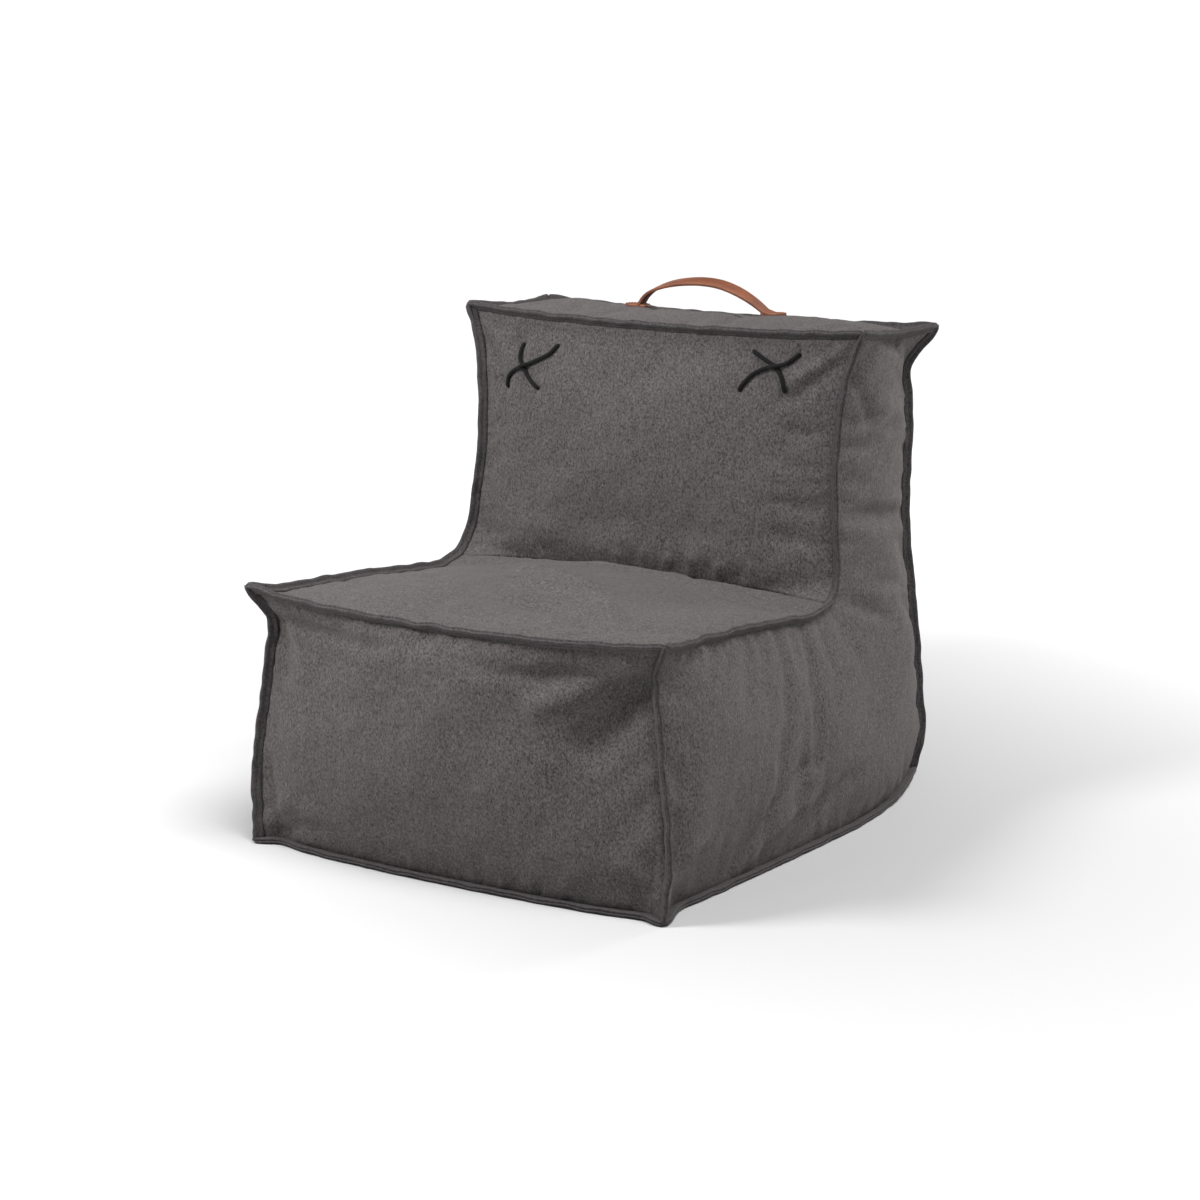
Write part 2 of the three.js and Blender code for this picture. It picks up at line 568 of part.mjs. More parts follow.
/** The zip low on the rear: tapes, chain halves, stops, slider and hanging pull. */
function addZip() {
  const inward = (inset) => bagDepth / 2 - inset; // Y of a plane this far under the rear seam plane
  const halfChain = halfWidth - zip.sideInset;
  const chainInset = cover.thickness + layerGap + zip.tapeThickness / 2 - zip.chainThickness / 2;
  const tapeInset = cover.thickness + layerGap;
  const slab = (x0, x1, z0, z1, inset0, inset1) => boxBetween(
    [x0, inward(inset1), zip.height + z0], [x1, inward(inset0), zip.height + z1]);

  const chainStart = zip.chainGap / 2;
  const chainEnd = chainStart + zip.chainWidth;
  const tapeStart = chainEnd + zip.tapeGap;
  const tapeEnd = tapeStart + zip.tapeWidth;
  const tapeHalf = halfChain + zip.tapeOverrun;
  for (const [place, sign] of [["upper", 1], ["lower", -1]]) {
    const band = (from, to) => (sign > 0 ? [from, to] : [-to, -from]);
    add(`zip_tape_${place}`, slab(-tapeHalf, tapeHalf, ...band(tapeStart, tapeEnd),
      tapeInset, tapeInset + zip.tapeThickness), finishes.tape);
    add(`zip_chain_${place}`, slab(-halfChain, halfChain, ...band(chainStart, chainEnd),
      chainInset, chainInset + zip.chainThickness), finishes.chain);
  }
  for (const [side, sign] of [["left", -1], ["right", 1]]) {
    const near = sign * (halfChain + layerGap);
    const far = near + sign * zip.stopLength;
    add(`zip_stop_${side}`, slab(Math.min(near, far), Math.max(near, far), -chainEnd, chainEnd,
      chainInset - layerGap, chainInset + zip.chainThickness + layerGap), finishes.metal);
  }

  const park = halfChain - slider.length / 2 - zip.endMargin; // the slider rests at the right-hand end
  const halfSlider = slider.length / 2;
  const frontBack = chainInset - layerGap; // the front plate's inner face
  const rearFront = chainInset + zip.chainThickness + layerGap;
  const face = frontBack - slider.plate; // the front plate's outer face
  const pinInset = face - layerGap - pull.eyeRadius;
  const lugInner = pull.eyeWidth / 2 + layerGap;
  const plate = (inset0, inset1) => slab(
    park - halfSlider, park + halfSlider, -slider.height / 2, slider.height / 2, inset0, inset1);
  const joined = 0.2; // overlap that makes two cuts one piece
  const web = slab(park + halfSlider - slider.webLength, park + halfSlider, -slider.webHeight / 2,
    slider.webHeight / 2, frontBack - joined, rearFront + joined);
  const lugs = [-1, 1].map((sign) => {
    const [x0, x1] = [sign * lugInner, sign * (lugInner + slider.lugThickness)].sort((a, b) => a - b);
    return slab(park + x0, park + x1, -pull.pinRadius * 1.6, pull.pinRadius * 1.6,
      pinInset - pull.pinRadius * 1.6, face + joined);
  });
  const pinCentre = [park, inward(pinInset), zip.height];
  const pin = barAlongX(pull.pinRadius, 2 * lugInner + slider.lugThickness, pinCentre);
  const sliderSolid = [plate(face, frontBack), plate(rearFront, rearFront + slider.plate), web, ...lugs, pin]
    .map(solid).reduce((whole, piece) => whole.add(piece));
  add("zip_slider", geometryOf(sliderSolid), finishes.metal);

  const neck = pull.eyeRadius + slider.height / 2;
  const hang = (halfWide, top, bottom) => boxBetween(
    [park - halfWide, pinCentre[1] - pull.plate / 2, zip.height - bottom],
    [park + halfWide, pinCentre[1] + pull.plate / 2, zip.height - top]);
  const eye = solid(barAlongX(pull.eyeRadius, pull.eyeWidth, pinCentre))
    .add(solid(hang(pull.eyeWidth / 2, pull.boreRadius, neck + joined)))
    .add(solid(hang(pull.width / 2, neck, pull.length)))
    .subtract(solid(barAlongX(pull.boreRadius, pull.eyeWidth * 2, pinCentre)));
  add("zip_pull", geometryOf(eye), finishes.metal);
}

addPanels();
addFlanges();
addInsides();
addTufts();
addHandle();
addZip();

export default chair;
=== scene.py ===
"""Bean bag chair: an L-shaped lounge seat with flanged seams, cord tufts and a leather strap.

Each cover panel hangs between the seam lines and is blown up by cloth simulation over its
filling. Flanges, stitches, cords, handle and zip are built around what the simulation gives.

Metres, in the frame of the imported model: +X right, +Y towards the back, +Z up, with the origin
on the floor at the centre of the footprint.
"""
from __future__ import annotations

import json
import logging
import math
from dataclasses import dataclass, field

import bmesh
import bpy
import numpy as np
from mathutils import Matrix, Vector
from mathutils.bvhtree import BVHTree
from mathutils.kdtree import KDTree

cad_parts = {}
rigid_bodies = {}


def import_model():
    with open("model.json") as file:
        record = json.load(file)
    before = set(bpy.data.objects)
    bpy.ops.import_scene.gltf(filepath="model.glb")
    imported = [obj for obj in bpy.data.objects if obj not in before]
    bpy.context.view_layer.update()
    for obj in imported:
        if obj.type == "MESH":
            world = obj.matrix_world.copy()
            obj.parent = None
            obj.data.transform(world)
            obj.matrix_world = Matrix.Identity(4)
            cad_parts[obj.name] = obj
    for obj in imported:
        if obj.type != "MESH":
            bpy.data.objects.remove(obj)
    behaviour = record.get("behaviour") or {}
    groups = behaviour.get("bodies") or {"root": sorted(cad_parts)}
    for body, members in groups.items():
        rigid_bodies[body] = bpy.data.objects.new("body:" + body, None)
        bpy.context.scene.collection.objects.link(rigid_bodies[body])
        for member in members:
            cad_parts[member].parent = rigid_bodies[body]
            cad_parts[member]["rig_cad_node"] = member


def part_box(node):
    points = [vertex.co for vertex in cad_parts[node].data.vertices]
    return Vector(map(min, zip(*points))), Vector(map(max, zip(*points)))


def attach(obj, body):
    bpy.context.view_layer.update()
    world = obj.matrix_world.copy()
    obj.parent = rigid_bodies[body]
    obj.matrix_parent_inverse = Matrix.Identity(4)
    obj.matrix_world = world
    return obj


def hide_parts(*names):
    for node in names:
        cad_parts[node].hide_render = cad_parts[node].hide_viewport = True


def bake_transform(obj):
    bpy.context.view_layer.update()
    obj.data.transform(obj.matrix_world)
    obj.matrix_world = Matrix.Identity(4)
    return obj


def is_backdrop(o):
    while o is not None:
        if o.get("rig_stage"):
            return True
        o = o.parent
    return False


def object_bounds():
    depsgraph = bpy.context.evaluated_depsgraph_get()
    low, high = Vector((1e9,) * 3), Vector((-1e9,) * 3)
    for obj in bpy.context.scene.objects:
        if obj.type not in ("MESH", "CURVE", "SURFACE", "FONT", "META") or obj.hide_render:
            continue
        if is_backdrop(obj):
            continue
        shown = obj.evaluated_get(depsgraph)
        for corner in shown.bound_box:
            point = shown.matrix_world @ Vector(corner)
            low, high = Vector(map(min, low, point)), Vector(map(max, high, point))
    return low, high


log = logging.getLogger("bean_bag_chair")

SIDES = {"left": -1.0, "right": 1.0}
SEAM_GAP = 0.0032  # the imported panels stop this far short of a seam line


# Lines and lattices ---------------------------------------------------------------------------


def smoothstep(value: np.ndarray | float) -> np.ndarray | float:
    """A soft ramp from 0 to 1.

    Args:
        value: position along the ramp; it is clamped to 0..1.

    Returns:
        The ramp's height at that position.
    """
    clamped = np.clip(value, 0.0, 1.0)
    return clamped * clamped * (3.0 - 2.0 * clamped)


def spline(points: list | np.ndarray, steps: int = 24) -> np.ndarray:
    """A smooth line through the points given.

    Args:
        points: the points that the line passes through.
        steps: how many pieces each stretch between two points is cut into.

    Returns:
        The line's points, one row each.
    """
    knots = np.asarray(points, float)
    padded = np.vstack([2 * knots[0] - knots[1], knots, 2 * knots[-1] - knots[-2]])
    t = np.linspace(0.0, 1.0, steps, endpoint=False)[:, None]
    rows = []
    for a, b, c, d in zip(padded, padded[1:], padded[2:], padded[3:]):
        rows.append(0.5 * (2 * b + (c - a) * t + (2 * a - 5 * b + 4 * c - d) * t**2
                           + (3 * b - a - 3 * c + d) * t**3))
    return np.vstack([*rows, knots[-1:]])


def stations(line: np.ndarray) -> np.ndarray:
    """The distance of each of a line's points from its start, along the line."""
    return np.concatenate([[0.0], np.cumsum(np.linalg.norm(np.diff(line, axis=0), axis=1))])


def length_of(line: np.ndarray) -> float:
    """A line's length."""
    return float(stations(line)[-1])


def resample(line: np.ndarray, count: int) -> np.ndarray:
    """The line again, as that many evenly spaced points."""
    along = stations(line)
    wanted = np.linspace(0.0, along[-1], count)
    return np.column_stack([np.interp(wanted, along, line[:, k]) for k in range(3)])


def cut_at_height(line: np.ndarray, low: float, high: float) -> np.ndarray:
    """The stretch of a rising line between two heights."""
    along = stations(line)
    start, end = np.interp([low, high], line[:, 2], along)
    wanted = np.linspace(start, end, 200)
    return np.column_stack([np.interp(wanted, along, line[:, k]) for k in range(3)])


def wobble(along: np.ndarray, wavelength: float, seed: int) -> np.ndarray:
    """A smooth irregular wave between about -1 and 1.

    Args:
        along: positions, in metres.
        wavelength: the rough distance between crests, in metres.
        seed: picks one wave out of many.

    Returns:
        The wave's height at each position.
    """
    rng = np.random.default_rng(seed)
    total = np.zeros_like(np.asarray(along, float))
    for share in (0.71, 1.0, 1.37, 1.9):
        phase, weight = rng.uniform(0, 2 * math.pi), rng.uniform(0.5, 1.0)
        total = total + weight * np.sin(2 * math.pi * share * along / wavelength + phase)
    return total / 2.2


def cloud(points: np.ndarray, wavelength: float, seed: int) -> np.ndarray:
    """Smooth irregular values between about -1 and 1 at points in space."""
    rng = np.random.default_rng(seed)
    total = np.zeros(len(points))
    for _ in range(9):
        direction = rng.normal(size=3)
        direction /= np.linalg.norm(direction)
        scale = rng.uniform(0.7, 1.5) * 2 * math.pi / wavelength
        total += np.sin(points @ direction * scale + rng.uniform(0, 2 * math.pi))
    return total / 3.6


def coons(bottom: np.ndarray, top: np.ndarray, left: np.ndarray, right: np.ndarray) -> np.ndarray:
    """A lattice stretched between four edges.

    Args:
        bottom: points from the left corner to the right one.
        top: as many points, above them.
        left: points from the bottom corner to the top one.
        right: as many points, opposite them.

    Returns:
        An array of rows, columns and coordinates.
    """
    u = np.linspace(0, 1, len(bottom))[None, :, None]
    v = np.linspace(0, 1, len(left))[:, None, None]
    ruled_v = (1 - v) * bottom[None] + v * top[None]
    ruled_u = (1 - u) * left[:, None] + u * right[:, None]
    corners = ((1 - u) * (1 - v) * bottom[0] + u * (1 - v) * bottom[-1]
               + (1 - u) * v * top[0] + u * v * top[-1])
    return ruled_v + ruled_u - corners


def make_mesh(name: str, points: np.ndarray, faces: list, smooth: bool = True) -> bpy.types.Object:
    """A mesh object from points and faces, linked to the scene.

    Args:
        name: the object's name.
        points: one row for each vertex.
        faces: vertex numbers of each face.
        smooth: whether its faces are shaded smooth.

    Returns:
        The new object.
    """
    mesh = bpy.data.meshes.new(name)
    mesh.from_pydata([tuple(p) for p in np.asarray(points, float)], [], [tuple(f) for f in faces])
    mesh.update()
    if smooth:
        mesh.shade_smooth()
    else:
        mesh.shade_flat()
    obj = bpy.data.objects.new(name, mesh)
    bpy.context.scene.collection.objects.link(obj)
    return obj


def coordinates(mesh: bpy.types.Mesh) -> np.ndarray:
    """A mesh's vertex positions, one row each."""
    flat = np.empty(len(mesh.vertices) * 3, np.float32)
    mesh.vertices.foreach_get("co", flat)
    return flat.reshape(-1, 3).astype(float)


def vertex_normals(mesh: bpy.types.Mesh) -> np.ndarray:
    """A mesh's vertex normals, one row each."""
    flat = np.empty(len(mesh.vertices) * 3, np.float32)
    mesh.vertex_normals.foreach_get("vector", flat)
    return flat.reshape(-1, 3).astype(float)


def set_coordinates(mesh: bpy.types.Mesh, points: np.ndarray) -> None:
    """Moves a mesh's vertices."""
    mesh.vertices.foreach_set("co", points.astype(np.float32).ravel())
    mesh.update()


def bake_modifiers(obj: bpy.types.Object) -> None:
    """Applies every modifier of an object to its mesh."""
    bpy.context.view_layer.update()
    depsgraph = bpy.context.evaluated_depsgraph_get()
    baked = bpy.data.meshes.new_from_object(obj.evaluated_get(depsgraph))
    obj.modifiers.clear()
    old = obj.data
    obj.data = baked
    baked.name = obj.name
    bpy.data.meshes.remove(old)


@dataclass
class Ribbon:
    """Rings of points along a line, gathered into one closed mesh, with stitches or other bits."""

    points: list = field(default_factory=list)
    faces: list = field(default_factory=list)
    slots: list = field(default_factory=list)
    count: int = 0

    def loft(self, rings: np.ndarray, slot: int = 0, side_slots: list | None = None) -> None:
        """Adds a closed tube through rings of equal size.

        Args:
            rings: an array of rings, points and coordinates.
            slot: the material slot of its faces.
            side_slots: the material slot of each side of the tube, where they differ.
        """
        total, sides = rings.shape[:2]
        base = self.count
        self.points.append(rings.reshape(-1, 3))
        self.count += total * sides
        for ring in range(total - 1):
            a = base + ring * sides
            for side in range(sides):
                nxt = (side + 1) % sides
                self.faces.append((a + side, a + nxt, a + sides + nxt, a + sides + side))
                self.slots.append(side_slots[side] if side_slots else slot)
        self.faces.append(tuple(base + s for s in reversed(range(sides))))
        self.faces.append(tuple(base + (total - 1) * sides + s for s in range(sides)))
        self.slots += [slot, slot]

    def thread(self, start: np.ndarray, end: np.ndarray, lift: np.ndarray, radius: float,
               slot: int = 1) -> None:
        """Adds one stitch: a short thread that dives into the cloth at both ends.

        Args:
            start: where it comes out of the cloth.
            end: where it goes back in.
            lift: the cloth's outward direction there.
            radius: the thread's radius.
            slot: the material slot of its faces.
        """
        along = (end - start) / max(np.linalg.norm(end - start), 1e-9)
        across = np.cross(along, lift)
        across /= max(np.linalg.norm(across), 1e-9)
        up = np.cross(across, along)
        rings = []
        for share, high, thick in ((-0.04, -1.1, 0.6), (0.12, 0.25, 1.0), (0.5, 0.7, 1.1),
                                   (0.88, 0.25, 1.0), (1.04, -1.1, 0.6)):
            centre = start + (end - start) * share + up * radius * high
            rings.append([centre + radius * thick * (across * math.cos(t) + up * math.sin(t))
                          for t in np.arange(5) * 2 * math.pi / 5])
        self.loft(np.array(rings), slot)

    def build(self, name: str) -> bpy.types.Object:
        """The gathered mesh as an object with outward faces."""
        obj = make_mesh(name, np.vstack(self.points), self.faces)
        obj.data.polygons.foreach_set("material_index", self.slots)
        turn_outwards(obj)
        return obj


def turn_outwards(obj: bpy.types.Object) -> None:
    """Turns the faces of each closed part of a mesh outwards."""
    work = bmesh.new()
    work.from_mesh(obj.data)
    bmesh.ops.recalc_face_normals(work, faces=work.faces)
    work.to_mesh(obj.data)
    work.free()
    obj.data.update()


# Finishes -------------------------------------------------------------------------------------


class NodeKit:
    """Short ways to add shader nodes to one material."""

    def __init__(self, name: str) -> None:
        """Starts a material with an empty node tree, a surface shader and an output."""
        self.material = bpy.data.materials.new(name)
        self.material.use_nodes = True
        self.tree = self.material.node_tree
        self.tree.nodes.clear()
        self.shader = self.tree.nodes.new("ShaderNodeBsdfPrincipled")
        output = self.tree.nodes.new("ShaderNodeOutputMaterial")
        self.tree.links.new(self.shader.outputs["BSDF"], output.inputs["Surface"])
        self.place = self.tree.nodes.new("ShaderNodeTexCoord").outputs["Object"]

    def add(self, kind: str, inputs: dict | None = None, **settings) -> bpy.types.Node:
        """Adds a node.

        Args:
            kind: the node's type.
            inputs: values or output sockets for its inputs, by name or number.
            settings: the node's own properties.

        Returns:
            The new node.
        """
        node = self.tree.nodes.new(kind)
        for key, value in settings.items():
            setattr(node, key, value)
        for key, value in (inputs or {}).items():
            if isinstance(value, bpy.types.NodeSocket):
                self.tree.links.new(value, node.inputs[key])
            else:
                node.inputs[key].default_value = value
        return node

    def math(self, operation: str, *values) -> bpy.types.NodeSocket:
        """The result of one arithmetic step on sockets and numbers."""
        return self.add("ShaderNodeMath", dict(enumerate(values)), operation=operation).outputs[0]

    def scaled(self, scale: tuple[float, float, float]) -> bpy.types.NodeSocket:
        """Object coordinates multiplied by a scale for each axis."""
        return self.add("ShaderNodeVectorMath", {0: self.place, 1: scale}, operation="MULTIPLY").outputs[0]

    def noise(self, scale: float, detail: float = 2.0, roughness: float = 0.5,
              stretch: tuple[float, float, float] = (1, 1, 1)) -> bpy.types.NodeSocket:
        """Cloudy values from 0 to 1, as cells of about 1/scale metres."""
        return self.add("ShaderNodeTexNoise", {
            "Vector": self.scaled(stretch), "Scale": scale, "Detail": detail, "Roughness": roughness,
        }).outputs["Fac"]

    def ramp(self, factor: bpy.types.NodeSocket, low: float, high: float,
             start: float = 0.0, end: float = 1.0) -> bpy.types.NodeSocket:
        """Carries low..high onto start..end, and clamps it."""
        return self.add("ShaderNodeMapRange", {
            "Value": factor, "From Min": low, "From Max": high, "To Min": start, "To Max": end,
        }).outputs["Result"]

    def blend(self, factor, first, second, mode: str = "MIX") -> bpy.types.NodeSocket:
        """Mixes two colours.

        Args:
            factor: a socket or number from 0 to 1.
            first: a colour or a socket, for factor 0.
            second: a colour or a socket, for factor 1.
            mode: how they are mixed.

        Returns:
            The mixed colour's socket.
        """
        node = self.tree.nodes.new("ShaderNodeMix")
        node.data_type = "RGBA"
        node.blend_type = mode
        for index, value in ((0, factor), (6, first), (7, second)):
            if isinstance(value, bpy.types.NodeSocket):
                self.tree.links.new(value, node.inputs[index])
            else:
                node.inputs[index].default_value = value
        return node.outputs[2]

    def bump(self, height: bpy.types.NodeSocket, distance: float, strength: float = 1.0,
             under: bpy.types.NodeSocket | None = None) -> bpy.types.NodeSocket:
        """A surface direction with relief of that many metres, on top of another relief if given."""
        inputs = {"Height": height, "Distance": distance, "Strength": strength}
        if under is not None:
            inputs["Normal"] = under
        return self.add("ShaderNodeBump", inputs).outputs["Normal"]

    def surface(self, **inputs) -> None:
        """Sets or links the surface shader's inputs, named with underscores for spaces."""
        for key, value in inputs.items():
            socket = self.shader.inputs[key.replace("_", " ")]
            if isinstance(value, bpy.types.NodeSocket):
                self.tree.links.new(value, socket)
            else:
                socket.default_value = value


def tone(red: int, green: int, blue: int) -> tuple[float, float, float, float]:
    """A display colour from 0 to 255 as the scene's linear colour."""
    return (*[(c / 255 / 12.92) if c <= 10 else ((c / 255 + 0.055) / 1.055) ** 2.4
              for c in (red, green, blue)], 1.0)


@dataclass(frozen=True)
class HeatherCloth:
    """A soft woven upholstery cloth of light and dark yarns."""

    name: str
    dark: tuple = tone(25, 23, 25)
    light: tuple = tone(97, 92, 92)
    grain: float = 0.0031  # size of the yarns' flecks
    yarn: float = 0.0012  # one yarn to the next in the weave
    fuzz: float = 0.14
    contrast: float = 1.0

    def build(self) -> bpy.types.Material:
        """The cloth's material."""
        kit = NodeKit(self.name)
        fleck = kit.noise(1 / self.grain, 2.5, 0.62, (1, 1, 0.72))
        fine = kit.noise(2.1 / self.grain, 1.0, 0.5, (1, 1, 0.45))
        streak = kit.noise(0.4 / self.grain, 2.0, 0.6, (1, 1, 0.22))
        wear = kit.noise(7.0, 3.0, 0.6)
        mixed = kit.math("ADD", kit.math("MULTIPLY", fleck, 0.62), kit.math("MULTIPLY", fine, 0.38))
        spread = 0.17 / self.contrast
        yarns = kit.ramp(mixed, 0.5 - spread, 0.5 + spread)
        colour = kit.blend(yarns, self.dark, self.light)
        colour = kit.blend(kit.ramp(streak, 0.35, 0.7, 0.0, 0.2), colour, self.dark)
        worn = kit.ramp(wear, 0.3, 0.75, 0.0, 0.13)
        colour = kit.blend(worn, colour, self.light)
        weave = self._weave(kit)
        relief = kit.bump(weave, 0.00035, 0.55)
        relief = kit.bump(mixed, 0.0011, 0.55, relief)
        kit.surface(Base_Color=colour, Roughness=0.93, Normal=relief, Specular_IOR_Level=0.22,
                    Sheen_Weight=self.fuzz, Sheen_Roughness=0.55, Sheen_Tint=tone(190, 182, 178))
        return kit.material

    def _weave(self, kit: NodeKit) -> bpy.types.NodeSocket:
        """The height of crossed yarns, laid flat on whichever way the surface faces."""
        split = kit.add("ShaderNodeSeparateXYZ", {0: kit.scaled((2 * math.pi / self.yarn,) * 3)})
        waves = [kit.math("SINE", split.outputs[axis]) for axis in range(3)]
        facing = kit.add("ShaderNodeSeparateXYZ", {0: kit.add("ShaderNodeNewGeometry").outputs["Normal"]})
        total = None
        for axis, (first, second) in enumerate(((1, 2), (0, 2), (0, 1))):
            crossed = kit.math("MULTIPLY", waves[first], waves[second])
            share = kit.math("POWER", kit.math("ABSOLUTE", facing.outputs[axis]), 3.0)
            part = kit.math("MULTIPLY", crossed, share)
            total = part if total is None else kit.math("ADD", total, part)
        return total


@dataclass(frozen=True)
class PlainCloth:
    """A plain woven tape, webbing, lining or thread."""

    name: str
    colour: tuple
    rib: float = 0.0016
    roughness: float = 0.88
    sheen: float = 0.15

    def build(self) -> bpy.types.Material:
        """The cloth's material."""
        kit = NodeKit(self.name)
        split = kit.add("ShaderNodeSeparateXYZ", {0: kit.scaled((2 * math.pi / self.rib,) * 3)})
        ribs = kit.math("ADD", kit.math("SINE", split.outputs[0]), kit.math("SINE", split.outputs[2]))
        mottle = kit.noise(420.0, 3.0, 0.6)
        shade = tuple(0.62 * c for c in self.colour[:3]) + (1.0,)
        colour = kit.blend(kit.ramp(mottle, 0.3, 0.7, 0.0, 0.8), shade, self.colour)
        relief = kit.bump(ribs, 0.0002, 0.5)
        relief = kit.bump(mottle, 0.0004, 0.4, relief)
        kit.surface(Base_Color=colour, Roughness=self.roughness, Normal=relief,
                    Specular_IOR_Level=0.2, Sheen_Weight=self.sheen, Sheen_Roughness=0.5)
        return kit.material


@dataclass(frozen=True)
class SaddleLeather:
    """Smooth vegetable-tanned leather with a fine grain; the darker copy on the strap's back is painted
    shade.
    """

    name: str
    colour: tuple = tone(130, 77, 50)
    deep: tuple = tone(94, 52, 34)
    roughness: float = 0.46
    grain: float = 0.0009

    def build(self) -> bpy.types.Material:
        """The leather's material."""
        kit = NodeKit(self.name)
        cells = kit.add("ShaderNodeTexVoronoi", {"Vector": kit.place, "Scale": 1 / self.grain},
                        feature="DISTANCE_TO_EDGE").outputs["Distance"]
        pull = kit.noise(60.0, 4.0, 0.6, (0.35, 1, 1))
        fibre = kit.noise(700.0, 2.0, 0.6, (0.3, 1, 1))
        colour = kit.blend(kit.ramp(pull, 0.32, 0.7), self.deep, self.colour)
        colour = kit.blend(kit.ramp(fibre, 0.45, 0.75, 0.0, 0.25), colour, self.deep)
        relief = kit.bump(kit.ramp(cells, 0.0, 0.12), 0.00012, 0.6)
        relief = kit.bump(pull, 0.0005, 0.35, relief)
        gloss = kit.ramp(pull, 0.3, 0.75, self.roughness + 0.12, self.roughness - 0.06)
        kit.surface(Base_Color=colour, Roughness=gloss, Normal=relief, Specular_IOR_Level=0.45)
        return kit.material


@dataclass(frozen=True)
class Metal:
    """Brushed grey metal with faint scratches."""

    name: str
    colour: tuple = tone(168, 168, 166)
    roughness: float = 0.34

    def build(self) -> bpy.types.Material:
        """The metal's material."""
        kit = NodeKit(self.name)
        scratch = kit.noise(900.0, 3.0, 0.7, (0.06, 1, 1))
        tarnish = kit.noise(160.0, 2.0)
        dull = tuple(0.55 * c for c in self.colour[:3]) + (1.0,)
        colour = kit.blend(kit.ramp(tarnish, 0.35, 0.8, 0.0, 0.5), self.colour, dull)
        gloss = kit.ramp(scratch, 0.3, 0.7, self.roughness - 0.06, self.roughness + 0.14)
        kit.surface(Base_Color=colour, Metallic=1.0, Roughness=gloss,
                    Normal=kit.bump(scratch, 0.00006, 0.5))
        return kit.material


@dataclass(frozen=True)
class Moulded:
    """A moulded plastic with a fine satin grain, such as zip teeth or beads."""

    name: str
    colour: tuple
    roughness: float = 0.45
    speckle: float = 900.0
    relief: float = 0.00008

    def build(self) -> bpy.types.Material:
        """The plastic's material."""
        kit = NodeKit(self.name)
        grain = kit.noise(self.speckle, 3.0, 0.6)
        shade = tuple(0.72 * c for c in self.colour[:3]) + (1.0,)
        colour = kit.blend(kit.ramp(grain, 0.3, 0.7, 0.0, 0.6), self.colour, shade)
        kit.surface(Base_Color=colour, Roughness=kit.ramp(grain, 0.3, 0.7, self.roughness - 0.05,
                                                          self.roughness + 0.1),
                    Normal=kit.bump(grain, self.relief, 0.6), Specular_IOR_Level=0.4)
        return kit.material


@dataclass(frozen=True)
class BeadHeap:
    """Expanded foam beads heaped against each other."""

    name: str
    bead: float = 0.0042

    def build(self) -> bpy.types.Material:
        """The beads' material."""
        kit = NodeKit(self.name)
        cells = kit.add("ShaderNodeTexVoronoi", {"Vector": kit.place, "Scale": 1 / self.bead})
        near = cells.outputs["Distance"]
        # Painted shade: each bead is light in the middle and greyer towards its rim, where it meets its
        # neighbours.
        colour = kit.blend(kit.ramp(near, 0.25, 0.75), tone(246, 245, 240), tone(188, 186, 180))
        kit.surface(Base_Color=colour, Roughness=0.7,
                    Normal=kit.bump(kit.math("SUBTRACT", 1.0, near), 0.0016, 0.8))
        return kit.material


class Wardrobe:
    """Every finish of the chair, made once."""

    def __init__(self) -> None:
        """Builds the materials."""
        self.cover = HeatherCloth("cover_heather").build()
        self.base = HeatherCloth("base_heather", dark=tone(31, 29, 30), light=tone(74, 70, 71)).build()
        # The flanges are the cover's own cloth; this darker copy is painted shade on their shadowed folds.
        self.flange = HeatherCloth("flange_heather", dark=tone(24, 22, 24), light=tone(76, 72, 73)).build()
        self.thread = PlainCloth("seam_thread", tone(72, 68, 68), rib=0.0006).build()
        self.lining = PlainCloth("liner_cloth", tone(222, 218, 210), rib=0.0011).build()
        self.beads = BeadHeap("foam_beads").build()
        self.cord = PlainCloth("tuft_cord_black", tone(9, 8, 9), rib=0.0012, roughness=0.85,
                               sheen=0.03).build()
        self.webbing = PlainCloth("webbing_dark", tone(64, 61, 61), rib=0.0021).build()
        self.zip_tape = PlainCloth("zip_tape_cloth", tone(52, 50, 50), rib=0.001).build()
        self.chain = Moulded("zip_chain_black", tone(38, 37, 37), roughness=0.38).build()
        self.metal = Metal("zip_metal").build()
        self.leather = SaddleLeather("strap_leather").build()
        # A rougher copy for the strap's flesh side underneath; its darker colour is painted shade on the side
        # turned from the light.
        self.suede_painted_shade = SaddleLeather("strap_back", colour=tone(96, 52, 36), deep=tone(62, 34, 26),
                                   roughness=0.74, grain=0.0006).build()
        self.leather_thread = PlainCloth("strap_thread", tone(120, 66, 42), rib=0.0006).build()


# The bag's seam lines -------------------------------------------------------------------------


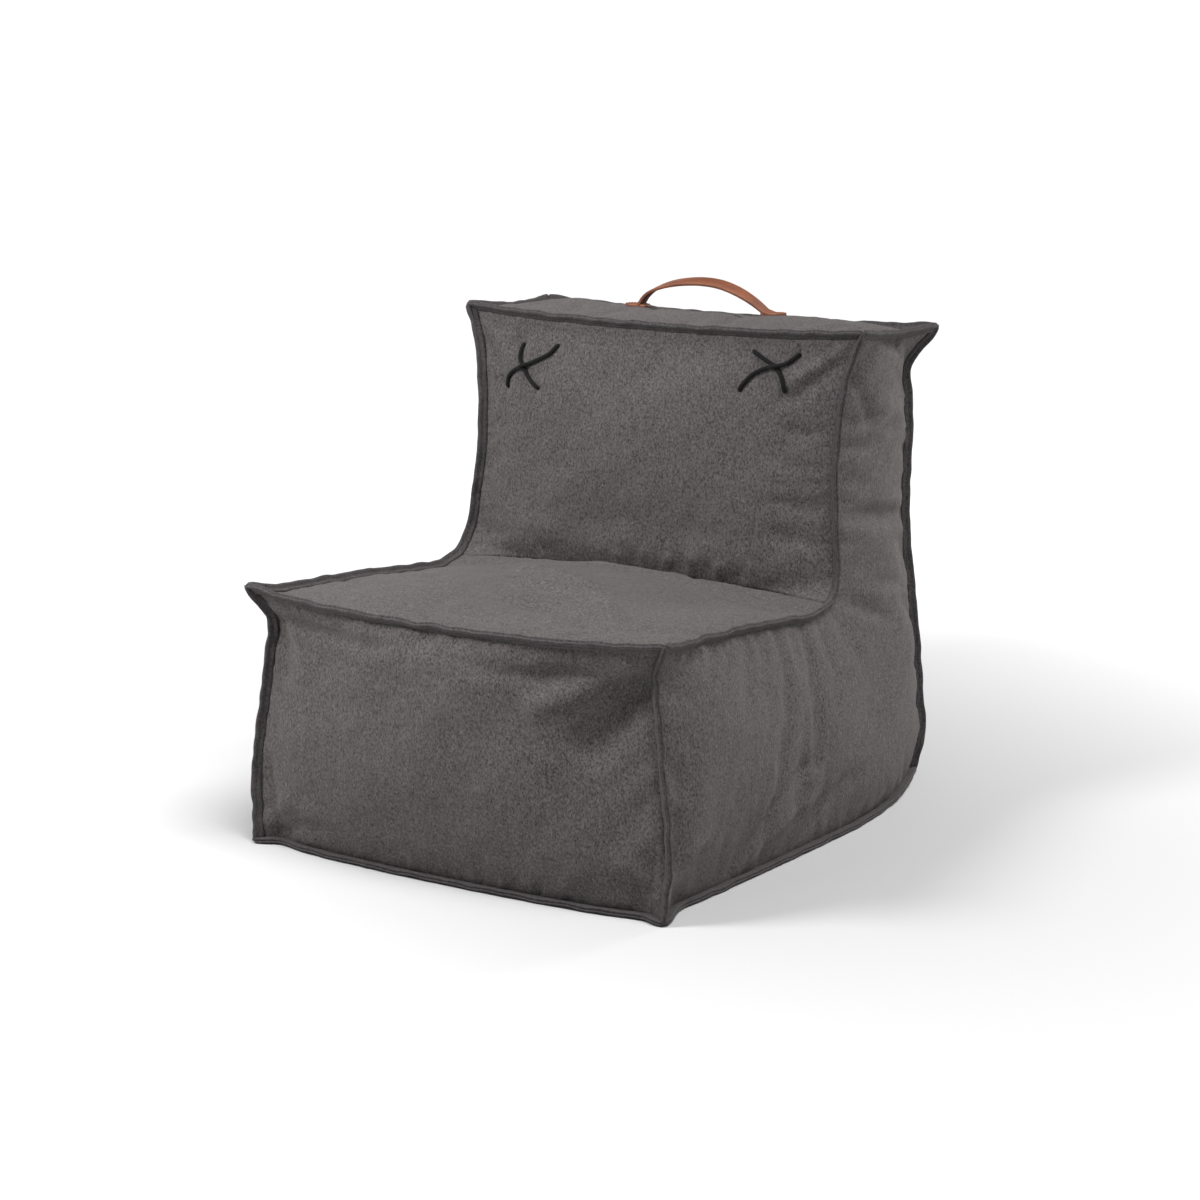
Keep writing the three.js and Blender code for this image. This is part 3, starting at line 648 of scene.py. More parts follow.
@dataclass
class SeamPlan:
    """Every seam line of the cover, pulled in and bowed out as the filled bag has it."""

    half_width: float
    half_depth: float
    seat_front: float
    crease_y: float
    crease_z: float
    back_top_y: float
    back_top_front: float
    back_top_rear: float
    floor: float = 0.0045
    front_sag: float = 0.013  # the seat's front seam drops this far in the middle
    front_bow: float = 0.020  # and bows forward this far
    top_sag: float = 0.010
    side_bow: float = 0.042  # the floor seam bows out at the sides
    # how far a front upright is pulled in, from the floor to the seat
    front_pull: tuple = (-0.002, -0.005, -0.008, -0.004, 0.006, 0.014, 0.021, 0.015, -0.004)
    front_heights: tuple = (0.0, 0.10, 0.22, 0.36, 0.55, 0.72, 0.86, 0.94, 1.0)
    # the same for a rear upright, from the floor to the top
    rear_pull: tuple = (0.006, -0.006, -0.001, 0.007, 0.016, 0.023, 0.023, 0.022, 0.027, 0.012, -0.010)
    rear_heights: tuple = (0.0, 0.08, 0.19, 0.33, 0.46, 0.58, 0.70, 0.82, 0.91, 0.96, 1.0)
    lines: dict = field(default_factory=dict)

    @classmethod
    def from_frame(cls) -> SeamPlan:
        """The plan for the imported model's sizes."""
        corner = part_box("bottom_panel")[1]
        top_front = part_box("back_top_front_flange")
        return cls(
            half_width=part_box("front_top_flange")[1].x + SEAM_GAP,
            half_depth=corner.y + SEAM_GAP,
            seat_front=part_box("front_top_flange")[0].z,
            crease_y=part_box("backrest_panel")[0].y + 0.030,
            crease_z=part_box("crease_baffle")[1].z - 0.008,
            back_top_y=top_front[1].y,
            back_top_front=top_front[0].z,
            back_top_rear=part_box("back_top_rear_flange")[0].z,
        )

    def draw(self) -> None:
        """Draws every seam line."""
        for side, sign in SIDES.items():
            self._draw_side(side, sign)
        left, right = "left", "right"
        front_ends = [self.lines[f"front_upright_{s}"][-1] for s in (left, right)]
        self.lines["front_top"] = self._across(*front_ends, sag=self.front_sag, bow=-self.front_bow, seed=3)
        self.lines["crease"] = self._across(*[self.lines[f"back_side_{s}"][0] for s in (left, right)],
                                            sag=-0.010, bow=0.006, seed=5)
        self.lines["back_top_front"] = self._across(
            *[self.lines[f"back_side_{s}"][-1] for s in (left, right)], sag=self.top_sag, bow=-0.008, seed=7)
        self.lines["back_top_rear"] = self._across(
            *[self.lines[f"rear_upright_{s}"][-1] for s in (left, right)],
            sag=self.top_sag, bow=0.010, seed=9)
        self.lines["floor_front"] = self._floor_across(*[self.lines[f"front_upright_{s}"][0]
                                                         for s in (left, right)], bow=-0.010)
        self.lines["floor_rear"] = self._floor_across(*[self.lines[f"rear_upright_{s}"][0]
                                                        for s in (left, right)], bow=0.001)

    def _draw_side(self, side: str, sign: float) -> None:
        """Draws one side's seam lines."""
        w, d = self.half_width, self.half_depth
        scale = 1.12 if sign > 0 else 0.9  # the right-hand side is drawn in a little more
        front = [(sign * (w - scale * pull), -d + 0.9 * max(pull, 0.0) + 0.009 * math.sin(math.pi * share),
                  self.floor + share * (self.seat_front - self.floor))
                 for pull, share in zip(self.front_pull, self.front_heights)]
        front[-1] = (sign * (w + 0.003), -d, self.seat_front + 0.003)
        rear = [(sign * (w - scale * pull), d - 0.45 * max(pull, 0.0),
                 self.floor + share * (self.back_top_rear - self.floor))
                for pull, share in zip(self.rear_pull, self.rear_heights)]
        self.lines[f"front_upright_{side}"] = self._shaken(spline(front), 0.0008, 0.07, 11 + int(sign))
        self.lines[f"rear_upright_{side}"] = self._shaken(spline(rear), 0.0010, 0.08, 15 + int(sign))

        cy, cz, ty = self.crease_y, self.crease_z, self.back_top_y
        edge = [
            (front[-1][0], front[-1][1], front[-1][2]),
            (sign * (w - 0.008), -d + 0.05, self.seat_front - 0.008),
            (sign * (w - 0.010), -d + 0.25, self.seat_front - 0.026),
            (sign * (w - 0.010), -d + 0.40, cz - 0.008),
            (sign * (w - 0.009), cy - 0.085, cz - 0.014),
            (sign * (w - 0.010), cy - 0.032, cz - 0.004),
            (sign * (w - 0.012), cy - 0.006, cz + 0.020),
            (sign * (w - 0.016), cy + 0.008, cz + 0.058),
            (sign * (w - 0.024), cy + 0.014, cz + 0.125),
            (sign * (w - 0.028), cy + 0.021, cz + 0.205),
            (sign * (w - 0.023), cy + 0.027, cz + 0.295),
            (sign * (w - 0.010), cy + 0.034, self.back_top_front - 0.026),
            (sign * (w + 0.004), ty, self.back_top_front + 0.003),
        ]
        steps = 24
        whole = self._shaken(spline(edge, steps), 0.0009, 0.09, 19 + int(sign))
        corner = 5 * steps
        self.lines[f"seat_side_{side}"] = whole[: corner + 1]
        self.lines[f"back_side_{side}"] = whole[corner:]
        rear_end, top_end = self.lines[f"rear_upright_{side}"][-1], whole[-1]
        middle = (rear_end + top_end) / 2 + np.array([-sign * 0.012, 0.0, -0.006])
        self.lines[f"back_top_side_{side}"] = spline([top_end, middle, rear_end], 60)

        f0, r0 = self.lines[f"front_upright_{side}"][0], self.lines[f"rear_upright_{side}"][0]
        bow = self.side_bow
        floor = [
            f0,
            (sign * (w - 0.012), -d + 0.060, self.floor),
            (sign * (w - 0.004), -d + 0.115, self.floor),
            (sign * (w + 0.30 * bow), -d + 0.25, self.floor),
            (sign * (w + 0.70 * bow), -d + 0.40, self.floor),
            (sign * (w + 0.98 * bow), -d + 0.54, self.floor),
            (sign * (w + 0.80 * bow), -d + 0.67, self.floor),
            (sign * (w + 0.24 * bow), -d + 0.77, self.floor),
            r0,
        ]
        self.lines[f"floor_side_{side}"] = spline(floor)

    def _across(self, start: np.ndarray, end: np.ndarray, sag: float, bow: float, seed: int) -> np.ndarray:
        """A seam from left to right that sags and bows in the middle."""
        share = np.linspace(0, 1, 9)
        rise = (4 * share * (1 - share)) ** 0.75
        points = start + (end - start) * share[:, None]
        points[:, 2] -= sag * rise
        points[:, 1] += bow * rise
        return self._shaken(spline(points), 0.0008, 0.10, seed)

    def _floor_across(self, start: np.ndarray, end: np.ndarray, bow: float) -> np.ndarray:
        """A floor seam from left to right, drawn in beside each corner."""
        inward = -math.copysign(0.012, bow)
        knots = [(0.0, 0.0), (0.05, inward), (0.15, 0.1 * bow), (0.35, 0.9 * bow), (0.5, bow),
                 (0.65, 0.9 * bow), (0.85, 0.2 * bow), (0.95, 0.7 * inward), (1.0, 0.0)]
        return spline([start + (end - start) * share + np.array([0.0, off, 0.0]) for share, off in knots])

    @staticmethod
    def _shaken(line: np.ndarray, amount: float, wavelength: float, seed: int) -> np.ndarray:
        """The line with a slight hand-sewn unevenness, and its ends as they were."""
        along = stations(line)
        ends = smoothstep(along / 0.03) * smoothstep((along[-1] - along) / 0.03)
        moved = line.copy()
        for axis in range(3):
            moved[:, axis] += amount * ends * wobble(along, wavelength, 10 * seed + axis)
        return moved


# Panels ---------------------------------------------------------------------------------------


@dataclass
class Fold:
    """A crease or soft ridge drawn across a panel.

    The path runs through shares of the panel's width and height; depth is into the bag, so a
    ridge has a negative depth.
    """

    path: tuple
    depth: float
    width: float


@dataclass(frozen=True)
class Dent:
    """A dimple where a stitch pulls the backrest in, at a place across and up."""

    across: float
    height: float
    depth: float
    width: float

    def depth_at(self, points: np.ndarray) -> np.ndarray:
        """How far the dimple moves each point into the bag."""
        squared = (points[:, 0] - self.across) ** 2 + (points[:, 2] - self.height) ** 2
        return self.depth * np.exp(-squared / self.width**2)


@dataclass
class Panel:
    """One piece of the cover: a lattice of points between its seam lines."""

    name: str
    lattice: np.ndarray
    outward: tuple[float, float, float]
    node: str
    growth: float = 0.01  # how much more cloth there is than the flat lattice takes
    pressure: float = 8.0
    flat: tuple[float, float] = (0.0, 0.0)
    flat_area: float | None = None
    dents: tuple = ()
    cells: np.ndarray | None = None
    folds: tuple = ()
    simulated: bool = True
    thickness: float = 0.0016
    obj: bpy.types.Object | None = None

    def _points_and_faces(self) -> tuple[np.ndarray, list, np.ndarray]:
        """The lattice's used points, its faces and a map from lattice place to point number."""
        rows, columns = self.lattice.shape[:2]
        keep = self.cells if self.cells is not None else np.ones((rows - 1, columns - 1), bool)
        number = np.arange(rows * columns).reshape(rows, columns)
        flip = self._turned()
        faces = []
        for j, i in zip(*np.nonzero(keep)):
            face = (number[j, i], number[j, i + 1], number[j + 1, i + 1], number[j + 1, i])
            faces.append(tuple(reversed(face)) if flip else face)
        used = np.unique(np.array(faces))
        renumber = np.full(rows * columns, -1)
        renumber[used] = np.arange(len(used))
        points = self.lattice.reshape(-1, 3)[used]
        return points, [tuple(renumber[list(f)]) for f in faces], renumber.reshape(rows, columns)

    def _turned(self) -> bool:
        """Whether the lattice's own order would face the panel inwards."""
        a = self.lattice[1:, :-1] - self.lattice[:-1, :-1]
        b = self.lattice[:-1, 1:] - self.lattice[:-1, :-1]
        return float(np.nansum(np.cross(b, a) @ np.array(self.outward))) < 0

    def start(self) -> None:
        """Makes the mesh, with its cloth pinned along the seams."""
        points, faces, self.numbers = self._points_and_faces()
        self.obj = make_mesh(f"{self.name}_cloth", points, faces)
        edge_use: dict = {}
        for face in faces:
            for a, b in zip(face, face[1:] + face[:1]):
                edge_use[frozenset((a, b))] = edge_use.get(frozenset((a, b)), 0) + 1
        self.border = sorted({v for edge, uses in edge_use.items() if uses == 1 for v in edge})
        if not self.simulated:
            return
        obj = self.obj
        seam = obj.vertex_groups.new(name="seam")
        seam.add([int(v) for v in self.border], 1.0, "REPLACE")
        cloth = obj.modifiers.new("cloth", "CLOTH")
        s = cloth.settings
        s.quality = 6
        s.mass = 0.02
        s.tension_stiffness = s.compression_stiffness = 26
        s.shear_stiffness = 9
        s.bending_stiffness = 2.6
        s.tension_damping = s.compression_damping = 12
        s.shear_damping = 8
        s.bending_damping = 1.5
        s.air_damping = 4
        s.vertex_group_mass = "seam"
        s.use_pressure = True
        s.uniform_pressure_force = self.pressure
        s.effector_weights.gravity = 0.0
        s.shrink_min = s.shrink_max = -self.growth
        cloth.collision_settings.use_collision = False
        cloth.point_cache.frame_start = 1
        cloth.point_cache.frame_end = Cover.FRAMES

    def settle(self) -> None:
        """Keeps the simulated shape as a plain mesh."""
        if not self.simulated:
            return
        depsgraph = bpy.context.evaluated_depsgraph_get()
        shaped = coordinates(self.obj.evaluated_get(depsgraph).data)
        self.obj.modifiers.clear()
        set_coordinates(self.obj.data, shaped)
        log.info("%s puffed by up to %.0f mm", self.name, 1000 * self._puffed(shaped))

    def _puffed(self, shaped: np.ndarray) -> float:
        """The furthest a point has moved outwards from the flat lattice."""
        flat = self.lattice.reshape(-1, 3)[self.numbers.ravel() >= 0]
        return float(((shaped - flat) @ np.array(self.outward)).max())

    def point(self, u: float, v: float) -> np.ndarray:
        """The settled surface's point at shares of the panel's width and height."""
        points = coordinates(self.obj.data)
        rows, columns = self.numbers.shape
        x, y = u * (columns - 1), v * (rows - 1)
        i, j = min(int(x), columns - 2), min(int(y), rows - 2)
        fx, fy = x - i, y - j
        a, b = points[self.numbers[j, i]], points[self.numbers[j, i + 1]]
        c, d = points[self.numbers[j + 1, i]], points[self.numbers[j + 1, i + 1]]
        return (1 - fy) * ((1 - fx) * a + fx * b) + fy * ((1 - fx) * c + fx * d)

    def dress(self, seams: KDTree, seam_along: np.ndarray, finish: bpy.types.Material) -> None:
        """Adds fine shape, thickness and finish to the settled panel.

        Args:
            seams: all the seam lines' points, to find how near the sewing is.
            seam_along: each of those points' distance along its own seam.
            finish: the cloth's material.
        """
        traces = [np.array([self.point(u, v) for u, v in spline_2d(fold.path)]) for fold in self.folds]
        obj = self.obj
        smooth = obj.modifiers.new("smooth", "SUBSURF")
        smooth.levels = smooth.render_levels = 1
        bake_modifiers(obj)
        points, normals = coordinates(obj.data), vertex_normals(obj.data)
        near = np.empty(len(points))
        along = np.empty(len(points))
        for index, point in enumerate(points):
            _, found, distance = seams.find(point)
            near[index], along[index] = distance, seam_along[found]
        free = smoothstep(near / 0.006)
        pucker = np.exp(-((near - 0.012) / 0.012) ** 2) * (
            wobble(along, 0.016, 31) + 0.7 * wobble(along, 0.034, 32))
        sag = cloud(points, 0.16, 41) * 0.0022 * smoothstep(near / 0.08)
        ripple = cloud(points, 0.055, 43) * 0.0007 * smoothstep(near / 0.03)
        shift = free * (0.0010 * pucker) + sag + ripple
        for fold, trace in zip(self.folds, traces):
            shift -= fold_depth(points, trace, fold)
        for dent in self.dents:
            shift -= dent.depth_at(points)
        set_coordinates(obj.data, points + normals * shift[:, None])
        if self.thickness:
            wall = obj.modifiers.new("wall", "SOLIDIFY")
            wall.thickness = self.thickness
            wall.offset = -1.0
            bake_modifiers(obj)
        obj.data.materials.clear()
        obj.data.materials.append(finish)
        obj.data.shade_smooth()


def spline_2d(path: tuple) -> list[tuple[float, float]]:
    """A smooth run of shares through a fold's path."""
    flat = np.array([(u, v, 0.0) for u, v in path])
    line = spline(flat, 12) if len(flat) > 2 else resample(flat, 24)
    return [(float(np.clip(u, 0, 1)), float(np.clip(v, 0, 1))) for u, v, _ in line]


def fold_depth(points: np.ndarray, trace: np.ndarray, fold: Fold) -> np.ndarray:
    """How far a fold moves each point into the bag."""
    low, high = trace.min(0) - 4 * fold.width, trace.max(0) + 4 * fold.width
    near = np.nonzero(np.all((points > low) & (points < high), axis=1))[0]
    depth = np.zeros(len(points))
    if not len(near):
        return depth
    best = np.full(len(near), 1e9)
    share = np.zeros(len(near))
    for k in range(len(trace) - 1):
        a, ab = trace[k], trace[k + 1] - trace[k]
        t = np.clip((points[near] - a) @ ab / max(ab @ ab, 1e-12), 0, 1)
        gap = np.linalg.norm(points[near] - a - t[:, None] * ab, axis=1)
        closer = gap < best
        best[closer] = gap[closer]
        share[closer] = (k + t[closer]) / (len(trace) - 1)
    ends = smoothstep(share / 0.25) * smoothstep((1 - share) / 0.25)
    depth[near] = fold.depth * ends * np.exp(-((best / fold.width) ** 2))
    return depth


class Cover:
    """The nine panels of the cover, puffed together by one cloth simulation."""

    FRAMES = 22
    STEP = 0.0105  # from one lattice point to the next

    def __init__(self, plan: SeamPlan, zip_height: float, zip_slot: float) -> None:
        """Keeps the seam plan and the zip's place.

        Args:
            plan: the seam lines.
            zip_height: the zip's middle above the floor.
            zip_slot: the opening between the panels at the zip.
        """
        self.plan = plan
        self.zip_height = zip_height
        self.zip_slot = zip_slot
        self.panels: dict[str, Panel] = {}

    def _counts(self, *spans: float) -> list[int]:
        """How many lattice points each span takes."""
        return [max(4, round(span / self.STEP)) + 1 for span in spans]

    def _four_sided(self, bottom: np.ndarray, top: np.ndarray, left: np.ndarray,
                    right: np.ndarray) -> np.ndarray:
        """A lattice between four seam lines."""
        columns, rows = self._counts(length_of(bottom), length_of(left))
        return coons(resample(bottom, columns), resample(top, columns),
                     resample(left, rows), resample(right, rows))

    @staticmethod
    def _bellied(lattice: np.ndarray, belly: float = 0.013) -> np.ndarray:
        """Pushes the middle of the front panel outwards, most of all in its upper half.

        Args:
            lattice: the panel's rows of points, from its lower edge up.
            belly: how far the fullest place comes out.

        Returns:
            The lattice with its belly.
        """
        rows, columns = lattice.shape[:2]
        up = np.linspace(0, 1, rows)[:, None]
        across = np.linspace(0, 1, columns)[None, :]
        swell = np.sin(math.pi * up**1.15) * np.sin(math.pi * across) ** 0.6
        bellied = lattice.copy()
        bellied[..., 1] -= belly * swell
        return bellied

    @staticmethod
    def _straightened(lattice: np.ndarray) -> np.ndarray:
        """The lattice with straight lines from bottom to top, except close to its sides."""
        rows, columns = lattice.shape[:2]
        v = np.linspace(0, 1, rows)[:, None, None]
        straight = (1 - v) * lattice[:1] + v * lattice[-1:]
        u = np.linspace(0, 1, columns)
        share = smoothstep(np.minimum(u, 1 - u) / 0.2)[None, :, None]
        return lattice + share * (straight - lattice)

    def _l_shaped(self, side: str) -> tuple[np.ndarray, np.ndarray]:
        """The side panel's lattice, and which of its cells are cloth."""
        lines = self.plan.lines
        seat, back = lines[f"seat_side_{side}"], lines[f"back_side_{side}"]
        top, upright = lines[f"back_top_side_{side}"], lines[f"front_upright_{side}"]
        n1, n2 = (round(length_of(line) / self.STEP) for line in (seat, top))
        m1, m2 = (round(length_of(line) / self.STEP) for line in (upright, back))
        lattice = np.full((m1 + m2 + 1, n1 + n2 + 1, 3), np.nan)
        floor = resample(lines[f"floor_side_{side}"], n1 + n2 + 1)
        rear = resample(lines[f"rear_upright_{side}"], m1 + m2 + 1)
        front = resample(upright, m1 + 1)
        seat_line, back_line = resample(seat, n1 + 1), resample(back, m2 + 1)
        top_line = resample(top, n2 + 1)
        share = np.linspace(0, 1, m1 + 1)[:, None]
        divider = (1 - share) * floor[n1] + share * seat_line[-1]
        lattice[: m1 + 1, : n1 + 1] = coons(floor[: n1 + 1], seat_line, front, divider)
        left = np.vstack([divider, back_line[1:]])
        lattice[:, n1:] = coons(floor[n1:], top_line, left, rear)
        cells = np.ones((m1 + m2, n1 + n2), bool)
        cells[m1:, :n1] = False
        free = np.zeros(lattice.shape[:2], bool)
        free[1:m1, 1:-1] = True
        free[1:-1, n1 + 1:-1] = True
        for _ in range(260):
            blended = (np.roll(lattice, 1, 0) + np.roll(lattice, -1, 0)
                       + np.roll(lattice, 1, 1) + np.roll(lattice, -1, 1)) / 4
            lattice[free] = blended[free]
        return lattice, cells

    def cut(self) -> None:
        """Lays out every panel between its seams."""
        lines = self.plan.lines
        low, high = self.zip_height - self.zip_slot / 2, self.zip_height + self.zip_slot / 2
        uprights = [lines[f"rear_upright_{side}"] for side in SIDES]
        under_zip = [cut_at_height(line, self.plan.floor, low) for line in uprights]
        above_zip = [cut_at_height(line, high, line[-1][2]) for line in uprights]
        zip_low = np.linspace(under_zip[0][-1], under_zip[1][-1], 60)
        zip_high = np.linspace(above_zip[0][0], above_zip[1][0], 60)
        specs = {
            "front_panel": ("floor_front", "front_top", "front_upright", (0, -1, 0), 0.014, 11.0),
            "seat_panel": ("front_top", "crease", "seat_side", (0, 0, 1), 0.007, 4.2),
            "backrest_panel": ("crease", "back_top_front", "back_side", (0, -1, 0), 0.006, 5.0),
            "top_panel": ("back_top_front", "back_top_rear", "back_top_side", (0, 0, 1), 0.017, 8.0),
        }
        for name, (bottom, top, side, outward, growth, pressure) in specs.items():
            lattice = self._four_sided(lines[bottom], lines[top],
                                       lines[f"{side}_left"], lines[f"{side}_right"])
            if name == "backrest_panel":
                lattice = self._straightened(lattice)
            if name == "front_panel":
                lattice = self._bellied(lattice)
            self.panels[name] = Panel(name, lattice, outward, name, growth, pressure,
                                      folds=FOLDS.get(name, ()))
        self.panels["rear_panel_upper"] = Panel(
            "rear_panel_upper", self._four_sided(zip_high, lines["back_top_rear"], *above_zip),
            (0, 1, 0), "rear_panel_upper", 0.003, 3.0)
        self.panels["rear_panel_lower"] = Panel(
            "rear_panel_lower", self._four_sided(lines["floor_rear"], zip_low, *under_zip),
            (0, 1, 0), "rear_panel_lower", simulated=False)
        self.panels["bottom_panel"] = Panel(
            "bottom_panel", self._four_sided(lines["floor_front"], lines["floor_rear"],
                                             lines["floor_side_left"], lines["floor_side_right"]),
            (0, 0, -1), "bottom_panel", simulated=False)
        for side, sign in SIDES.items():
            lattice, cells = self._l_shaped(side)
            name = f"{side}_side_panel"
            self.panels[name] = Panel(name, lattice, (sign, 0, 0), name, 0.030, 11.0, cells=cells,
                                      folds=FOLDS.get(name, ()))
        self._flat_sizes()

    def _flat_sizes(self) -> None:
        """Works out the size that each panel was cut to, seam to seam."""
        plan = self.plan
        width, depth = 2 * plan.half_width, 2 * plan.half_depth
        rise = plan.back_top_front - plan.crease_z
        sizes = {
            "front_panel": (width, plan.seat_front),
            "seat_panel": (width, plan.crease_y + plan.half_depth),
            "backrest_panel": (width, rise + 0.012),
            "top_panel": (width, plan.half_depth - plan.back_top_y),
            "rear_panel_upper": (width, plan.back_top_rear - self.zip_height - self.zip_slot / 2),
            "rear_panel_lower": (width, self.zip_height - self.zip_slot / 2),
            "bottom_panel": (width + plan.side_bow, depth),
        }
        for name, size in sizes.items():
            self.panels[name].flat = size
        for side in SIDES:
            panel = self.panels[f"{side}_side_panel"]
            panel.flat = (depth, plan.back_top_front)
            back = plan.half_depth - (plan.crease_y + plan.back_top_y) / 2
            panel.flat_area = depth * (plan.seat_front + plan.crease_z) / 2 + back * rise

    def puff(self) -> None:
        """Runs the cloth simulation of all the panels at once."""
        for panel in self.panels.values():
            panel.start()
        scene = bpy.context.scene
        for frame in range(1, self.FRAMES + 1):
            scene.frame_set(frame)
        for panel in self.panels.values():
            panel.settle()
        scene.frame_set(1)

    def dress(self, wardrobe: Wardrobe) -> None:
        """Finishes every panel and ties it to the bag."""
        rows, along = [], []
        for line in self.plan.lines.values():
            fine = resample(line, max(8, round(length_of(line) / 0.003)))
            rows.append(fine)
            along.append(stations(fine) + 10 * len(rows))
        points = np.vstack(rows)
        seams = KDTree(len(points))
        for index, point in enumerate(points):
            seams.insert(point, index)
        seams.balance()
        for name, panel in self.panels.items():
            base = name == "bottom_panel"
            panel.dress(seams, np.concatenate(along), wardrobe.base if base else wardrobe.cover)
            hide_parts(panel.node)
            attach(panel.obj, "bag")
            log.info("%s has %d points", name, len(panel.obj.data.vertices))

    def surface(self, name: str) -> BVHTree:
        """A panel's surface, to set other pieces on."""
        mesh = self.panels[name].obj.data
        return BVHTree.FromPolygons([v.co[:] for v in mesh.vertices], [p.vertices[:] for p in mesh.polygons])


FOLDS: dict[str, tuple[Fold, ...]] = {
    "front_panel": (
        Fold(((1.0, 0.985), (0.91, 0.87), (0.81, 0.78), (0.68, 0.71)), -0.0120, 0.019),
        Fold(((1.0, 0.90), (0.95, 0.76), (0.87, 0.64), (0.79, 0.55)), 0.0170, 0.031),
        Fold(((0.0, 0.985), (0.05, 0.88), (0.10, 0.78), (0.13, 0.66)), -0.0045, 0.014),
        Fold(((0.0, 0.90), (0.04, 0.77), (0.06, 0.62)), 0.0050, 0.016),
        Fold(((0.0, 0.03), (0.05, 0.13), (0.12, 0.21)), -0.0060, 0.014),
        Fold(((0.03, 0.0), (0.12, 0.09), (0.22, 0.12)), 0.0040, 0.013),
        Fold(((1.0, 0.03), (0.95, 0.14), (0.88, 0.22)), -0.0050, 0.014),
    ),
    "seat_panel": (
        Fold(((0.42, 0.42), (0.56, 0.40), (0.70, 0.34), (0.86, 0.22)), -0.0150, 0.016),
        Fold(((0.30, 0.66), (0.44, 0.60), (0.56, 0.52), (0.72, 0.46)), -0.0130, 0.018),
        Fold(((0.50, 0.28), (0.66, 0.24), (0.82, 0.12)), 0.0110, 0.019),
        Fold(((0.38, 0.52), (0.52, 0.47), (0.68, 0.40)), 0.0085, 0.015),
        Fold(((0.08, 0.78), (0.25, 0.82), (0.45, 0.78)), 0.0035, 0.020),
        Fold(((0.05, 0.45), (0.18, 0.40), (0.30, 0.42)), 0.0025, 0.018),
    ),
    "backrest_panel": (
        Fold(((0.0, 0.12), (0.25, 0.10), (0.5, 0.095), (0.75, 0.10), (1.0, 0.12)), -0.0080, 0.034),
        *(Fold(((u, -0.02), (u + 0.008, 0.05), (u + 0.014, tall)), -0.0050, 0.0085)
          for u, tall in ((0.44, 0.09), (0.51, 0.12), (0.57, 0.10), (0.64, 0.13), (0.71, 0.10),
                          (0.79, 0.12))),
        Fold(((1.0, 0.985), (0.92, 0.88), (0.84, 0.80)), -0.0065, 0.011),
        Fold(((1.0, 0.93), (0.90, 0.80), (0.82, 0.73)), 0.0055, 0.013),
        Fold(((1.0, 0.66), (0.92, 0.63), (0.83, 0.64)), 0.0032, 0.010),
        Fold(((1.0, 0.52), (0.91, 0.50), (0.80, 0.52)), 0.0028, 0.011),
        Fold(((1.0, 0.38), (0.90, 0.35), (0.79, 0.36)), 0.0034, 0.012),
        Fold(((0.0, 0.975), (0.07, 0.87), (0.13, 0.79)), -0.0040, 0.010),
        Fold(((0.0, 0.90), (0.05, 0.78), (0.08, 0.68)), 0.0035, 0.012),
    ),
    "right_side_panel": (
        Fold(((0.0, 0.03), (0.06, 0.10), (0.14, 0.13)), -0.0050, 0.012),
        Fold(((0.20, 0.0), (0.30, 0.10), (0.42, 0.17), (0.54, 0.20)), 0.0060, 0.014),
        Fold(((0.24, 0.0), (0.36, 0.08), (0.48, 0.12)), -0.0045, 0.012),
        Fold(((0.40, 0.0), (0.52, 0.09), (0.66, 0.14)), 0.0045, 0.015),
        Fold(((0.02, 0.40), (0.08, 0.38), (0.15, 0.40)), 0.0035, 0.011),
        Fold(((0.66, 0.96), (0.74, 0.88), (0.80, 0.80)), 0.0040, 0.013),
    ),
    "left_side_panel": (
        Fold(((0.0, 0.03), (0.06, 0.10), (0.14, 0.13)), -0.0050, 0.012),
        Fold(((0.30, 0.0), (0.40, 0.10), (0.52, 0.16)), 0.0055, 0.015),
        Fold(((0.02, 0.42), (0.09, 0.38), (0.17, 0.38)), 0.0035, 0.012),
        Fold(((0.98, 0.30), (0.88, 0.26), (0.78, 0.28)), 0.0045, 0.014),
        Fold(((0.66, 0.94), (0.74, 0.86), (0.82, 0.80)), 0.0040, 0.013),
    ),
    "rear_panel_upper": (
        Fold(((0.0, 0.95), (0.08, 0.87), (0.15, 0.81)), -0.0045, 0.013),
        Fold(((1.0, 0.96), (0.91, 0.88), (0.84, 0.84)), -0.0045, 0.013),
        Fold(((0.0, 0.30), (0.14, 0.24), (0.30, 0.25)), 0.0045, 0.017),
        Fold(((1.0, 0.36), (0.86, 0.30), (0.70, 0.32)), 0.0045, 0.017),
        Fold(((0.30, 0.10), (0.50, 0.07), (0.70, 0.10)), -0.0040, 0.020),
    ),
    "top_panel": (
        Fold(((0.0, 0.10), (0.06, 0.30), (0.13, 0.45)), -0.0035, 0.012),
        Fold(((1.0, 0.10), (0.93, 0.32), (0.86, 0.46)), -0.0035, 0.012),
        Fold(((0.40, 0.55), (0.52, 0.62), (0.66, 0.55)), 0.0022, 0.014),
    ),
}


# Flanges --------------------------------------------------------------------------------------


